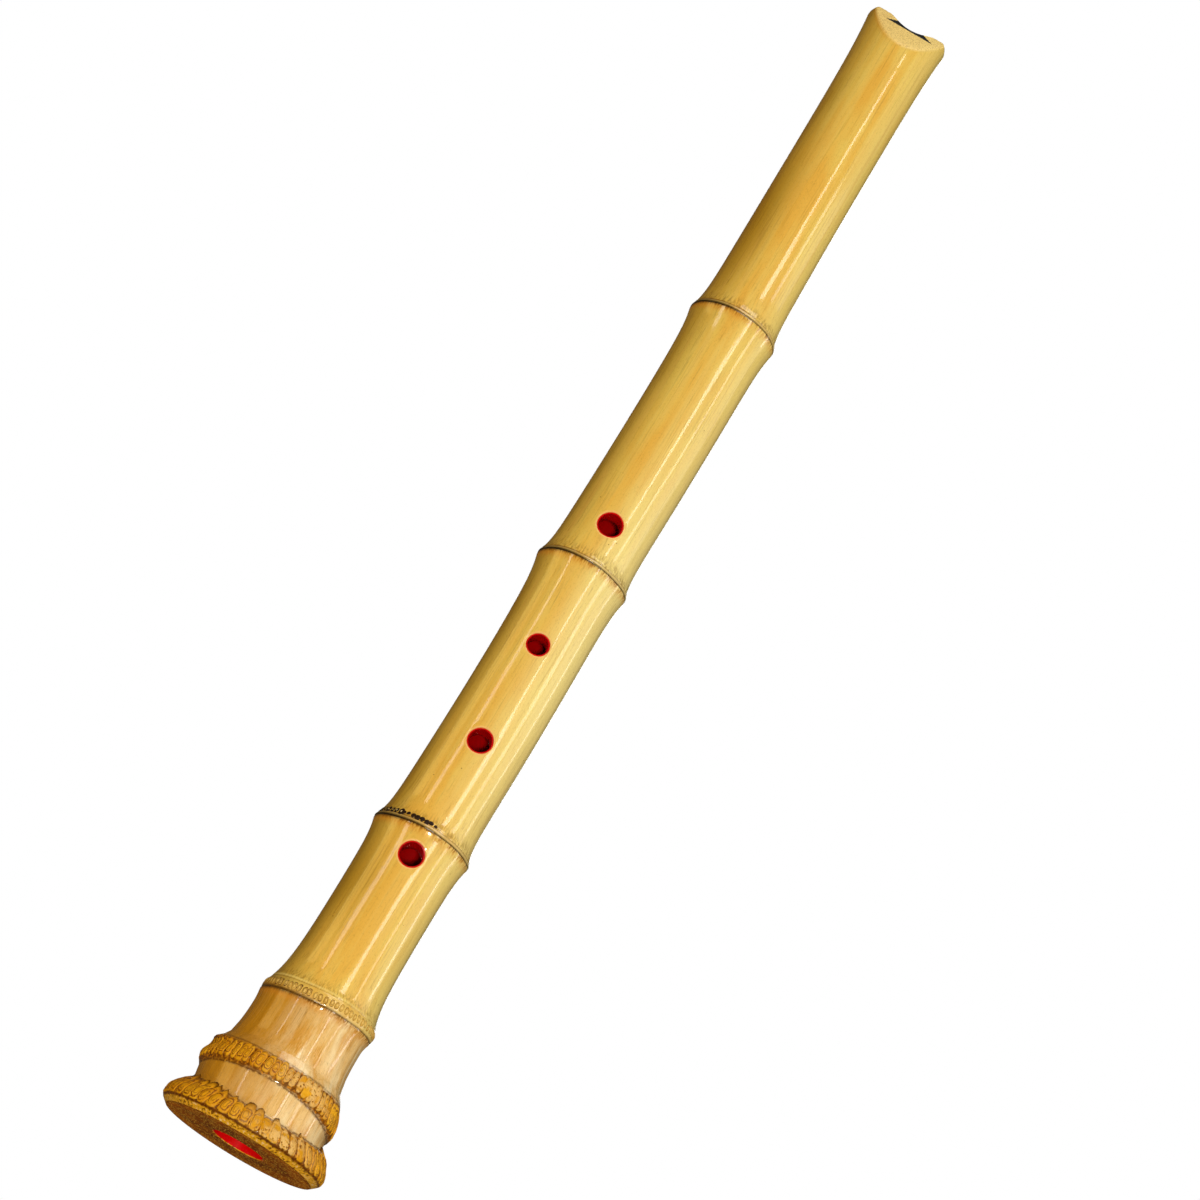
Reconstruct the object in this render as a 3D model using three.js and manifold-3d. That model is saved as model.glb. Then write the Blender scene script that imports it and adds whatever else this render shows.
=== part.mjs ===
// Shakuhachi: an end-blown flute made from the root end of a bamboo stalk.
// Units are millimetres. The flute stands on its root end: +Z runs up the bore to the mouth,
// the four finger holes and the blowing edge face -Y, and the thumb hole faces +Y.
// The origin is the centre of the flat foot face.
import * as THREE from 'three';
import { mergeVertices } from 'three/addons/utils/BufferGeometryUtils.js';
import Module from 'manifold-3d';

const wasm = await Module();
wasm.setup();

// Driving dimensions of the stalk
const fluteLength = 545;
const footFaceRadius = 30.6;
const footRimRadius = 33.2;
const footRimHeight = 2.2;
const footRingRadius = 33.6;
const footRingHeight = 3.6;
const waistRadius = 27.2;
const waistHeight = 14.8;
const waistLength = 2;
const upperRingRadius = 28.7;
const upperRingHeight = 20;
const upperRingTopRadius = 26.4;
const upperRingTopHeight = 29.6;
const shoulderRadius = 23.4;
const shoulderHeight = 34;
const shoulderFade = 6;

// The two root rings lean apart: heights above are at the rear, and at the front the waist
// between the rings starts this much lower and ends this much higher
const footRingFrontDrop = 4.4;
const upperRingFrontRise = 5.2;

// Rootlet knobs round both root rings
const knobDepth = 0.5;
const knobsPerRing = 42;

// Node ridges, from the root up: height of the crease, radius of the ridge, width of its flat band,
// and how far the stalk takes to fall back to the plain tube below and above
const rootNode = { height: 55, radius: 22.7, band: 3, fadeBelow: 2.5, fadeAbove: 8.5 };
const lowerNode = { height: 132.4, radius: 20.5, band: 0.4, fadeBelow: 6, fadeAbove: 4.8 };
const middleNode = { height: 257.2, radius: 19.9, band: 0.4, fadeBelow: 8, fadeAbove: 5.2 };
const upperNode = { height: 382.6, radius: 19.4, band: 0.4, fadeBelow: 8, fadeAbove: 6.2 };

// Plain tube between the nodes, from the root up
const rootStalkRadius = 21.7;
const lowerStalkRadius = 18.5;
const middleStalkRadius = 17.7;
const upperStalkRadius = 17.5;
const topStalkRadius = 16.8;

// Natural sway of the stalk towards +X: between the root rings and the root node, at each node,
// at the mouth, and how much further it bows out at mid length between the nodes
const rootSway = -0.7;
const rootNodeSway = -0.05;
const lowerNodeSway = 0.15;
const middleNodeSway = 0.1;
const upperNodeSway = 0.65;
const mouthSway = -0.55;
const middleBow = 0.85;
const upperBow = 0.6;

// Mouth end
const mouthRadius = 18.7;
const mouthFade = 17;
const rimRounding = 1.8;
const boreRimRounding = 1.2;
const mouthBoreRadius = 9.8;
const facetDepth = 7.2;
const facetAngle = THREE.MathUtils.degToRad(31.5);
const wallBehindFacet = 1;

// Horn insert in the sloping cut: a dovetail, wide side down
const inlayDrop = 6.3;
const inlayFootHalfWidth = 11.2;
const inlayThickness = 2.2;

// Bore and its linings; the collar is the stretch at the foot where the bamboo meets the lacquer
const lacquerThickness = 0.5;
const liningThickness = 1;
const clearance = 0.3;
const footCollar = 3;
const lacquerRecess = 0.4;
const boreHeightShares = [0, 0.06, 0.12, 0.2, 0.46, 0.7, 1];
const boreRadiusShares = [1.05, 0.93, 0.86, 0.81, 0.91, 0.97, 1];

// Finger holes from the root up, and the thumb hole: height and radius of the lacquered wall
const firstHole = { height: 121.5, radius: 5.1 };
const secondHole = { height: 173.2, radius: 5.1 };
const thirdHole = { height: 217.8, radius: 4.65 };
const fourthHole = { height: 275.4, radius: 5.3 };
const thumbHole = { height: 311.5, radius: 5.1 };

// Fineness of the meshes, and how far a cutter runs past what it cuts
const stalkSegments = 2 * knobsPerRing;
const boreSegments = 36;
const holeSegments = 28;
const stationsPerInternode = 4;
const closestStations = 0.2;
const cutOverrun = 1;

const nodes = [rootNode, lowerNode, middleNode, upperNode];
const stalkRadii = [rootStalkRadius, lowerStalkRadius, middleStalkRadius, upperStalkRadius, topStalkRadius];
const fingerHoles = [firstHole, secondHole, thirdHole, fourthHole];
const swayPoints = [
  { height: footRingHeight, sway: 0, bow: 0 },
  { height: upperRingHeight, sway: rootSway, bow: 0 },
  { height: rootNode.height - rootNode.band, sway: rootSway, bow: 0 },
  { height: rootNode.height + rootNode.band, sway: rootNodeSway, bow: 0 },
  { height: lowerNode.height, sway: lowerNodeSway, bow: middleBow },
  { height: middleNode.height, sway: middleNodeSway, bow: upperBow },
  { height: upperNode.height, sway: upperNodeSway, bow: 0 },
  { height: fluteLength, sway: mouthSway, bow: 0 },
];

// Heights above each crease, in shares of the fade length there, where the outline needs a station
const stationsBelowShares = [-2.2, -1.1, -0.4];
const stationsAboveShares = [0.35, 1, 2.2];

// Heights up the foot ring's bulge, in shares of the way to the waist, and how it rounds off there
const footRingStationShares = [0.25, 0.5, 0.75, 0.92];
const footRingBulgePower = 1.7;

// Turns a closed geometry into a solid that can be joined and cut
function solidOf(geometry) {
  const bare = geometry.clone();
  bare.deleteAttribute('normal');
  bare.deleteAttribute('uv');
  const merged = mergeVertices(bare);
  const corners = merged.index.array;
  const kept = [];
  for (let i = 0; i < corners.length; i += 3) {
    const [a, b, c] = [corners[i], corners[i + 1], corners[i + 2]];
    if (a !== b && b !== c && c !== a) kept.push(a, b, c);
  }
  const mesh = new wasm.Mesh({
    numProp: 3,
    vertProperties: new Float32Array(merged.attributes.position.array),
    triVerts: new Uint32Array(kept),
  });
  return new wasm.Manifold(mesh);
}

// Turns a solid back into a geometry with flat-shaded normals
function geometryOf(solid) {
  const mesh = solid.getMesh();
  const geometry = new THREE.BufferGeometry();
  geometry.setAttribute('position', new THREE.BufferAttribute(new Float32Array(mesh.vertProperties), 3));
  geometry.setIndex(new THREE.BufferAttribute(new Uint32Array(mesh.triVerts), 1));
  geometry.computeVertexNormals();
  return geometry;
}

// Revolves an outline of [radius, height] pairs about Z
function lathe(outline, segments) {
  const points = outline.map(([radius, height]) => new THREE.Vector2(radius, height));
  return new THREE.LatheGeometry(points, segments).rotateX(Math.PI / 2);
}

// Radius of the bare tube, with its node ridges, at a height above the shoulder of the root
function stalkRadius(height) {
  const below = nodes.filter((node) => node.height <= height).length;
  const plain = stalkRadii[below];
  let radius = plain;
  if (below > 0) {
    const node = nodes[below - 1];
    const away = Math.max(0, height - node.height - node.band);
    radius += (node.radius - plain) * Math.exp(-away / node.fadeAbove);
  } else {
    radius += (shoulderRadius - plain) * Math.exp((shoulderHeight - height) / shoulderFade);
  }
  if (below < nodes.length) {
    const node = nodes[below];
    radius += (node.radius - plain) * Math.exp((height - node.height) / node.fadeBelow);
  } else {
    radius += (mouthRadius - plain) * Math.exp((height - fluteLength) / mouthFade);
  }
  return radius;
}

// Heights where the outline of the tube gets a point: close together at the ridges, wide apart between
function stalkHeights() {
  const heights = [];
  for (const node of nodes) {
    const top = node.height + node.band;
    heights.push(...stationsBelowShares.map((share) => node.height + share * node.fadeBelow));
    heights.push(node.height, top);
    heights.push(...stationsAboveShares.map((share) => top + share * node.fadeAbove));
  }
  const stops = [shoulderHeight, ...nodes.map((node) => node.height), fluteLength];
  for (let i = 1; i < stops.length; i += 1) {
    const step = (stops[i] - stops[i - 1]) / stationsPerInternode;
    for (let k = 1; k < stationsPerInternode; k += 1) heights.push(stops[i - 1] + k * step);
  }
  const top = fluteLength - rimRounding;
  const sorted = heights.filter((height) => height > shoulderHeight && height < top).sort((a, b) => a - b);
  return sorted.filter((height, i) => i === 0 || height - sorted[i - 1] > closestStations);
}

// Sideways shift of the stalk's centre line at a height
function swayAt(height) {
  const found = swayPoints.findIndex((point) => point.height >= height);
  const upper = found < 1 ? 1 : found;
  const [from, to] = [swayPoints[upper - 1], swayPoints[upper]];
  const share = THREE.MathUtils.clamp((height - from.height) / (to.height - from.height), 0, 1);
  return THREE.MathUtils.lerp(from.sway, to.sway, share) + from.bow * Math.sin(Math.PI * share);
}

// Outline of the root end. Each row is: radius, height at the rear, rise of the front above the
// rear, and depth of the rootlet knobs
function rootOutline() {
  const ringHeight = waistHeight - footRingHeight;
  const bulge = footRingStationShares.map((share) => [
    waistRadius + (footRingRadius - waistRadius) * (1 - share ** footRingBulgePower),
    footRingHeight + share * ringHeight,
    -share * footRingFrontDrop,
    (1 - share ** 2) * knobDepth,
  ]);
  const waistTop = waistHeight + waistLength;
  const mid = (from, to) => (from + to) / 2;
  return [
    [0, 0, 0, 0],
    [footFaceRadius, 0, 0, 0],
    [footRimRadius, footRimHeight, 0, knobDepth / 2],
    [footRingRadius, footRingHeight, 0, knobDepth],
    ...bulge,
    [waistRadius, waistHeight, -footRingFrontDrop, 0],
    [waistRadius, waistTop, upperRingFrontRise, 0],
    [mid(waistRadius, upperRingRadius), mid(waistTop, upperRingHeight), upperRingFrontRise, knobDepth / 2],
    [upperRingRadius, upperRingHeight, upperRingFrontRise, knobDepth],
    [mid(upperRingRadius, upperRingTopRadius), mid(upperRingHeight, upperRingTopHeight),
      upperRingFrontRise / 2, knobDepth],
    [upperRingTopRadius, upperRingTopHeight, 0, knobDepth / 2],
    [shoulderRadius, shoulderHeight, 0, 0],
  ];
}

// Outline of the tube and the rounded rim of the mouth, in rows of the same kind
function tubeOutline() {
  const topFace = fluteLength - rimRounding;
  const rimRadius = stalkRadius(topFace);
  const inset = rimRounding * (1 - Math.SQRT1_2);
  return [
    ...stalkHeights().map((height) => [stalkRadius(height), height, 0, 0]),
    [rimRadius, topFace, 0, 0],
    [rimRadius - inset, fluteLength - inset, 0, 0],
    [rimRadius - rimRounding, fluteLength, 0, 0],
    [0, fluteLength, 0, 0],
  ];
}

// The whole stalk before anything is cut out of it
function stalkSolid() {
  const rows = [...rootOutline(), ...tubeOutline()];
  const geometry = lathe(rows, stalkSegments);
  const place = geometry.attributes.position;
  for (let i = 0; i < place.count; i += 1) {
    const [radius, rearHeight, rise, knob] = rows[i % rows.length];
    const around = 2 * Math.PI * Math.floor(i / rows.length) / stalkSegments;
    const height = rearHeight + rise * ((1 + Math.cos(around)) / 2) ** 2;
    const grown = radius + knob * Math.cos(knobsPerRing * around);
    place.setXYZ(i, grown * Math.sin(around) + swayAt(height), -grown * Math.cos(around), height);
  }
  return solidOf(geometry);
}

// Radius of the finished bore at a height, as the lacquer leaves it
function boreRadius(height) {
  const share = THREE.MathUtils.clamp(height / fluteLength, 0, 1);
  const found = boreHeightShares.findIndex((mark) => mark >= share);
  const upper = Math.max(found, 1);
  const [from, to] = [boreHeightShares[upper - 1], boreHeightShares[upper]];
  const along = (share - from) / (to - from);
  return mouthBoreRadius * THREE.MathUtils.lerp(boreRadiusShares[upper - 1], boreRadiusShares[upper], along);
}

// What rounds the bore's edge at the mouth
function boreRimCutter() {
  const radius = boreRadius(fluteLength);
  const inset = boreRimRounding * (1 - Math.SQRT1_2);
  return solidOf(lathe([
    [0, fluteLength - boreRimRounding],
    [radius, fluteLength - boreRimRounding],
    [radius + inset, fluteLength - inset],
    [radius + boreRimRounding, fluteLength],
    [radius + boreRimRounding, fluteLength + cutOverrun],
    [0, fluteLength + cutOverrun],
  ], boreSegments));
}

// A turned solid that follows the bore, wider than it by some margin, from one height to another
function boreSolid(bottom, top, margin) {
  const marks = boreHeightShares.map((share) => share * fluteLength);
  const inside = marks.filter((height) => height > bottom && height < top);
  const sides = [bottom, ...inside, top].map((height) => [boreRadius(height) + margin, height]);
  return solidOf(lathe([[0, bottom], ...sides, [0, top]], boreSegments));
}

// A rod through one wall of the flute where a hole is: towards -Y for a finger, +Y for the thumb
function holeRod(hole, radius, side) {
  const reach = footRingRadius;
  const rod = new THREE.CylinderGeometry(radius, radius, reach, holeSegments);
  return solidOf(rod.translate(0, side * reach / 2, hole.height));
}

// The rods of all five holes, as much wider than the lacquered wall as margin says
function holeRods(margin) {
  const rods = fingerHoles.map((hole) => holeRod(hole, hole.radius + margin, -1));
  rods.push(holeRod(thumbHole, thumbHole.radius + margin, 1));
  return rods.reduce((all, rod) => all.add(rod));
}

// Places a geometry whose Y = 0 plane is the facet, with +Z up the slope and its zero at the rim
function placeOnFacet(geometry) {
  return geometry.rotateX(-facetAngle).translate(0, -facetDepth, fluteLength);
}

// What the sloping cut takes away
function facetCutter() {
  const size = 4 * mouthRadius;
  const box = new THREE.BoxGeometry(size, size, size);
  return solidOf(placeOnFacet(box.translate(0, -size / 2, 0)));
}

// The dovetail of the horn insert, grown by a margin on its seated sides and run out past the open ones
function dovetail(margin, run) {
  const topHalfWidth = Math.sqrt(mouthBoreRadius ** 2 - facetDepth ** 2);
  const flare = (inlayFootHalfWidth - topHalfWidth) / inlayDrop;
  const sideMargin = margin * Math.hypot(1, flare);
  const footHalfWidth = inlayFootHalfWidth + sideMargin + margin * flare;
  const headHalfWidth = topHalfWidth + sideMargin - run * flare;
  const outline = new THREE.Shape([
    new THREE.Vector2(-footHalfWidth, -inlayDrop - margin),
    new THREE.Vector2(footHalfWidth, -inlayDrop - margin),
    new THREE.Vector2(headHalfWidth, run),
    new THREE.Vector2(-headHalfWidth, run),
  ]);
  const depth = inlayThickness + margin + run;
  const prism = new THREE.ExtrudeGeometry(outline, { depth, bevelEnabled: false });
  return solidOf(placeOnFacet(prism.rotateX(Math.PI / 2).translate(0, depth - run, 0)));
}

// Heights of the linings: the lacquer starts just inside the foot and the paste above the collar, and
// both end where the space cut for them still leaves a wall of bamboo behind the facet
const lacquerMargin = lacquerThickness;
const liningInnerMargin = lacquerMargin + clearance;
const liningOuterMargin = liningInnerMargin + liningThickness;
const rawBoreMargin = liningOuterMargin + clearance;
const wallReach = mouthBoreRadius + rawBoreMargin + wallBehindFacet;
const bareMouthLength = (wallReach - facetDepth) / Math.tan(facetAngle) + clearance;
const liningTop = fluteLength - bareMouthLength;

const stalk = stalkSolid();

// The bamboo, cut for the bore, the collar at the foot, the five holes, the facet and the insert
function culm() {
  const collar = boreSolid(-cutOverrun, footCollar + cutOverrun, lacquerMargin + clearance);
  const rawBore = boreSolid(footCollar, liningTop + clearance, rawBoreMargin);
  const mouthBore = boreSolid(liningTop - cutOverrun, fluteLength + cutOverrun, 0);
  return stalk
    .subtract(collar)
    .subtract(rawBore)
    .subtract(mouthBore)
    .subtract(boreRimCutter())
    .subtract(holeRods(clearance))
    .subtract(facetCutter())
    .subtract(dovetail(clearance, cutOverrun));
}

// The horn insert, flush with the facet and hollowed by the bore
function edgeInlay() {
  const mouthBore = boreSolid(liningTop - 2 * inlayDrop, fluteLength + cutOverrun, 0);
  return dovetail(0, 0).intersect(stalk).subtract(mouthBore).subtract(boreRimCutter());
}

// The paste lining between the raw bamboo and the lacquer
function groundLining() {
  const bottom = footCollar + clearance;
  const outer = boreSolid(bottom, liningTop, liningOuterMargin);
  const inner = boreSolid(bottom - cutOverrun, liningTop + cutOverrun, liningInnerMargin);
  return outer.subtract(inner).subtract(holeRods(clearance));
}

// The lacquer film: one tube along the bore with a sleeve in each hole
function lacquerCoat() {
  const tube = boreSolid(lacquerRecess, liningTop, lacquerMargin);
  const sleeves = holeRods(0).intersect(stalk);
  const bore = boreSolid(lacquerRecess - cutOverrun, liningTop + cutOverrun, 0);
  return tube.add(sleeves).subtract(bore).subtract(holeRods(-lacquerThickness));
}

function finish(color, roughness) {
  return new THREE.MeshStandardMaterial({ color, roughness, metalness: 0 });
}

function part(name, solid, material) {
  const mesh = new THREE.Mesh(geometryOf(solid), material);
  mesh.name = name;
  return mesh;
}

const shakuhachi = new THREE.Group();
shakuhachi.name = 'shakuhachi';
shakuhachi.add(part('culm', culm(), finish('#d9ae55', 0.35)));
shakuhachi.add(part('edge_inlay', edgeInlay(), finish('#0b0a09', 0.25)));
shakuhachi.add(part('ground_lining', groundLining(), finish('#8f8271', 0.9)));
shakuhachi.add(part('lacquer_coat', lacquerCoat(), finish('#a30a0c', 0.2)));

export default shakuhachi;
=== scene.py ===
"""Shakuhachi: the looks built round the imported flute.

The flute stands on its root end, with the finger holes towards -Y. Sizes are in millimetres, the same
ones that the solids are made from, and a mesh is turned to metres when it is made. An angle round the
flute is 0 at the front and grows towards +X.
"""
import logging
import math
from dataclasses import dataclass
from enum import Enum
from typing import Any, Callable

import bmesh
import bpy
import numpy as np
from mathutils import Euler, Matrix, Vector


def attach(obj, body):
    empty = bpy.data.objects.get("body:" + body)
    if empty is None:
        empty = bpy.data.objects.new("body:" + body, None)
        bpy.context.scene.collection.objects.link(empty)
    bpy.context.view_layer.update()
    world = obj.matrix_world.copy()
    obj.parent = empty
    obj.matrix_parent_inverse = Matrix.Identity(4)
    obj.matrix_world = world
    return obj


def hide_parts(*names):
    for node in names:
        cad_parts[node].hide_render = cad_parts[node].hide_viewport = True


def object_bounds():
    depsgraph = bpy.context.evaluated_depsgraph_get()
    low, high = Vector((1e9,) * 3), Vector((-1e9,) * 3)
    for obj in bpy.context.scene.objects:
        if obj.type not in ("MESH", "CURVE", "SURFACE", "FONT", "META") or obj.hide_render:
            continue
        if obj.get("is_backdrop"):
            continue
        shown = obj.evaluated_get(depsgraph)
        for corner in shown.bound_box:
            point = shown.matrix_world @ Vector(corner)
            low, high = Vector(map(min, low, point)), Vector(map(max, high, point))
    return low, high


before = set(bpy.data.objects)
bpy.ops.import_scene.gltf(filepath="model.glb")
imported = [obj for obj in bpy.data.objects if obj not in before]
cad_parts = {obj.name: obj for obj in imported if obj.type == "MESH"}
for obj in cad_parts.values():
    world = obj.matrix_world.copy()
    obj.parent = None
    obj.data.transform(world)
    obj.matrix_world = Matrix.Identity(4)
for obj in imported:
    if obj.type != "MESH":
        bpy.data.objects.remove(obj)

METRES = 0.001
FULL_TURN = 2 * math.pi
BODY = "root"
WHITE = (1.0, 1.0, 1.0)
TOOL_OVERRUN = 1  # how far a cutting tool runs past the face that it comes out of

log = logging.getLogger("shakuhachi")

Colour = tuple[float, float, float]
Values = dict[Any, Any]


def rgb(*screen: int) -> Colour:
    """Turns a screen colour, 0 to 255 a channel, into the shader's linear one."""
    shares = [channel / 255 for channel in screen]
    return tuple(share / 12.92 if share <= 0.04045 else ((share + 0.055) / 1.055) ** 2.4 for share in shares)


def around(count: int) -> np.ndarray:
    """That many even angles round the flute."""
    return np.arange(count) * FULL_TURN / count


def frontness(angle: Any) -> Any:
    """How far an angle faces the front, from 0 at the rear to 1."""
    return ((1 + np.cos(angle)) / 2) ** 2


def hump(away: Any, width: float) -> Any:
    """A smooth hump, 1 in its middle and about a third at that width from it."""
    return np.exp(-((away / width) ** 2))


class Slot(Enum):
    """The record's material slots."""

    BAMBOO = "bamboo"
    HORN = "horn"
    LACQUER = "red_lacquer"


class Cut(Enum):
    """What a tool solid does to the piece it is used on."""

    TAKE_AWAY = "DIFFERENCE"
    ADD = "UNION"


# Node expressions --------------------------------------------------------------------------------


class Signal:
    """One value, vector or colour in a node tree, with operators that turn expressions into nodes."""

    def __init__(self, graph: "Graph", socket: bpy.types.NodeSocket) -> None:
        """Wraps a socket of that graph."""
        self.graph = graph
        self.socket = socket

    def _math(self, operation: str, *values: Any, clamp: bool = False) -> "Signal":
        """Adds one Math node for those inputs, whose result may be clamped to 0 to 1."""
        settings = {"operation": operation, "use_clamp": clamp}
        return self.graph.add("ShaderNodeMath", settings, dict(enumerate(values)))

    def __add__(self, other: Any) -> "Signal":
        """Self plus other."""
        return self._math("ADD", self, other)

    def __radd__(self, other: Any) -> "Signal":
        """Other plus self."""
        return self._math("ADD", other, self)

    def __sub__(self, other: Any) -> "Signal":
        """Self minus other."""
        return self._math("SUBTRACT", self, other)

    def __rsub__(self, other: Any) -> "Signal":
        """Other minus self."""
        return self._math("SUBTRACT", other, self)

    def __mul__(self, other: Any) -> "Signal":
        """Self times other."""
        return self._math("MULTIPLY", self, other)

    def __rmul__(self, other: Any) -> "Signal":
        """Other times self."""
        return self._math("MULTIPLY", other, self)

    def __truediv__(self, other: Any) -> "Signal":
        """Self over other."""
        return self._math("DIVIDE", self, other)

    def __rtruediv__(self, other: Any) -> "Signal":
        """Other over self."""
        return self._math("DIVIDE", other, self)

    def __pow__(self, other: Any) -> "Signal":
        """Self to the power of other."""
        return self._math("POWER", self, other)

    def __neg__(self) -> "Signal":
        """Self with its sign turned."""
        return self._math("MULTIPLY", self, -1.0)

    def scaled(self, factor: Any) -> "Signal":
        """A vector times a number."""
        return self.graph.add("ShaderNodeVectorMath", {"operation": "SCALE"}, {0: self, "Scale": factor})

    def moved(self, other: Any) -> "Signal":
        """A vector plus a vector."""
        return self.graph.add("ShaderNodeVectorMath", {"operation": "ADD"}, {0: self, 1: other})

    def sin(self) -> "Signal":
        """Sine of an angle in radians."""
        return self._math("SINE", self)

    def cos(self) -> "Signal":
        """Cosine of an angle in radians."""
        return self._math("COSINE", self)

    def size(self) -> "Signal":
        """Self without its sign."""
        return self._math("ABSOLUTE", self)

    def most(self, other: Any) -> "Signal":
        """The larger of self and other."""
        return self._math("MAXIMUM", self, other)

    def held(self) -> "Signal":
        """Self kept between 0 and 1."""
        return self._math("ADD", self, 0.0, clamp=True)

    def rise(self, start: float, end: float) -> "Signal":
        """A smooth step, 0 at start and 1 at end; it falls where end is below start."""
        low, high, first, last = (start, end, 0.0, 1.0) if start < end else (end, start, 1.0, 0.0)
        return self.graph.add("ShaderNodeMapRange", {"interpolation_type": "SMOOTHSTEP"},
                              {"Value": self, 1: low, 2: high, 3: first, 4: last})

    def bell(self, centre: float, width: float) -> "Signal":
        """A bell, 1 at its centre and about a third at that width from it."""
        away = (self - centre) / width
        return self._math("EXPONENT", -(away * away))


def distance(across: Signal, along: Signal) -> Signal:
    """How far away a point is, from its distances across and along."""
    return (across * across + along * along) ** 0.5


class Graph:
    """A node tree and the expressions that make it."""

    def __init__(self, tree: bpy.types.NodeTree) -> None:
        """Starts with an empty tree."""
        self.tree = tree
        tree.nodes.clear()

    def node(self, kind: str, settings: Values | None = None, inputs: Values | None = None) -> bpy.types.Node:
        """Adds any node.

        Args:
            kind: the node's type.
            settings: its own settings, set before its inputs.
            inputs: the values or signals of its inputs, by name or number.

        Returns:
            The node.
        """
        made = self.tree.nodes.new(kind)
        for key, value in (settings or {}).items():
            setattr(made, key, value)
        for key, value in (inputs or {}).items():
            if isinstance(value, Signal):
                self.tree.links.new(value.socket, made.inputs[key])
            elif made.inputs[key].type == "RGBA":
                made.inputs[key].default_value = (*value, 1.0)
            else:
                made.inputs[key].default_value = value
        return made

    def add(self, kind: str, settings: Values | None = None, inputs: Values | None = None,
            output: Any = 0) -> Signal:
        """Adds any node and gives one of its outputs, by name or number."""
        return Signal(self, self.node(kind, settings, inputs).outputs[output])

    def point(self, x: Any, y: Any, z: Any) -> Signal:
        """Joins three numbers into a vector."""
        return self.add("ShaderNodeCombineXYZ", inputs={0: x, 1: y, 2: z})

    def parts(self, vector: Signal) -> list[Signal]:
        """The three numbers of a vector."""
        split = self.node("ShaderNodeSeparateXYZ", inputs={0: vector})
        return [Signal(self, out) for out in split.outputs]

    def stored(self, name: str) -> Signal:
        """The vector that a mesh's points store under a name."""
        return self.add("GeometryNodeInputNamedAttribute", {"data_type": "FLOAT_VECTOR"}, {"Name": name})

    def draw(self, low: Any, high: Any, seed: Any) -> Signal:
        """A random number between two for each element."""
        return self.add("FunctionNodeRandomValue", inputs={2: low, 3: high, "Seed": seed}, output=1)

    def mix(self, first: Any, second: Any, share: Any) -> Signal:
        """Mixes two colours, by the share of the second."""
        return self.add("ShaderNodeMix", {"data_type": "RGBA"}, {0: share, 6: first, 7: second}, output=2)

    def layers(self, colour: Any, *coats: tuple[Any, Any]) -> Signal:
        """Lays colours over one another.

        Args:
            colour: the lowest colour.
            coats: the others from the lowest up, each with the share that it covers.

        Returns:
            The colour that shows.
        """
        for coat, share in coats:
            colour = self.mix(colour, coat, share)
        return colour


class Shader(Graph):
    """A procedural material and the expressions that make it."""

    def __init__(self, name: str) -> None:
        """Starts an empty material of that name, and reads the surface point in millimetres."""
        self.material = bpy.data.materials.new(name)
        self.material.use_nodes = True
        super().__init__(self.material.node_tree)
        self.place = [part / METRES for part in self.parts(self.add("ShaderNodeTexCoord", output="Object"))]

    def spot(self, *stretch: float) -> Signal:
        """The surface point, or that point with x, y and z each times a factor."""
        pairs = zip(self.place, stretch or (1, 1, 1))
        return self.point(*[part if factor == 1 else part * factor for part, factor in pairs])

    def angle(self) -> Signal:
        """The angle of the surface point round the flute."""
        return self.add("ShaderNodeMath", {"operation": "ARCTAN2"}, {0: self.place[0], 1: -self.place[1]})

    def noise(self, where: Signal, scale: float, detail: float = 3.0, rough: float = 0.55) -> Signal:
        """Soft noise from 0 to 1, about 0.5, with scale lumps to a unit of where."""
        return self.add("ShaderNodeTexNoise",
                        inputs={"Vector": where, "Scale": scale, "Detail": detail, "Roughness": rough})

    def bump(self, height: Signal, depth: float) -> Signal:
        """Turns a height from 0 to 1 into a normal, for a depth in millimetres."""
        return self.add("ShaderNodeBump",
                        inputs={"Strength": 1.0, "Distance": depth * METRES, "Height": height})

    def finish(self, **sockets: Any) -> bpy.types.Material:
        """Ends the material in a Principled shader.

        Args:
            sockets: values or signals of its sockets, with _ for the spaces in a name.

        Returns:
            The material.
        """
        inputs = {key.replace("_", " "): value for key, value in sockets.items()}
        surface = self.add("ShaderNodeBsdfPrincipled", inputs=inputs)
        self.node("ShaderNodeOutputMaterial", inputs={"Surface": surface})
        return self.material


# Meshes ------------------------------------------------------------------------------------------


def make_object(name: str, mesh: bpy.types.Mesh) -> bpy.types.Object:
    """Puts a mesh into the scene as an object.

    Args:
        name: the object's name.
        mesh: the mesh.

    Returns:
        The object.
    """
    made = bpy.data.objects.new(name, mesh)
    bpy.context.scene.collection.objects.link(made)
    return made


def shell(name: str, rings: np.ndarray) -> bpy.types.Object:
    """Makes a closed solid from rings of points, each end closed by a fan.

    Args:
        name: the object's name.
        rings: points in millimetres, indexed by ring, by place round the ring and by axis.

    Returns:
        The object, with its faces outwards.
    """
    count, sides = rings.shape[:2]
    ends = np.stack([rings[0].mean(0), rings[-1].mean(0)])
    points = np.concatenate([rings.reshape(-1, 3), ends]) * METRES
    step = np.arange(sides)
    following = (step + 1) % sides
    top, first, last = (count - 1) * sides, count * sides, count * sides + 1
    faces = []
    for low in range(0, top, sides):
        high = low + sides
        faces.extend(zip(low + step, low + following, high + following, high + step))
    faces.extend(zip(np.full(sides, first), following, step))
    faces.extend(zip(np.full(sides, last), top + step, top + following))
    mesh = bpy.data.meshes.new(name)
    mesh.from_pydata(points.tolist(), [], [tuple(int(i) for i in face) for face in faces])
    facing = bmesh.new()
    facing.from_mesh(mesh)
    bmesh.ops.recalc_face_normals(facing, faces=facing.faces)
    facing.to_mesh(mesh)
    facing.free()
    return make_object(name, mesh)


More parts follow.
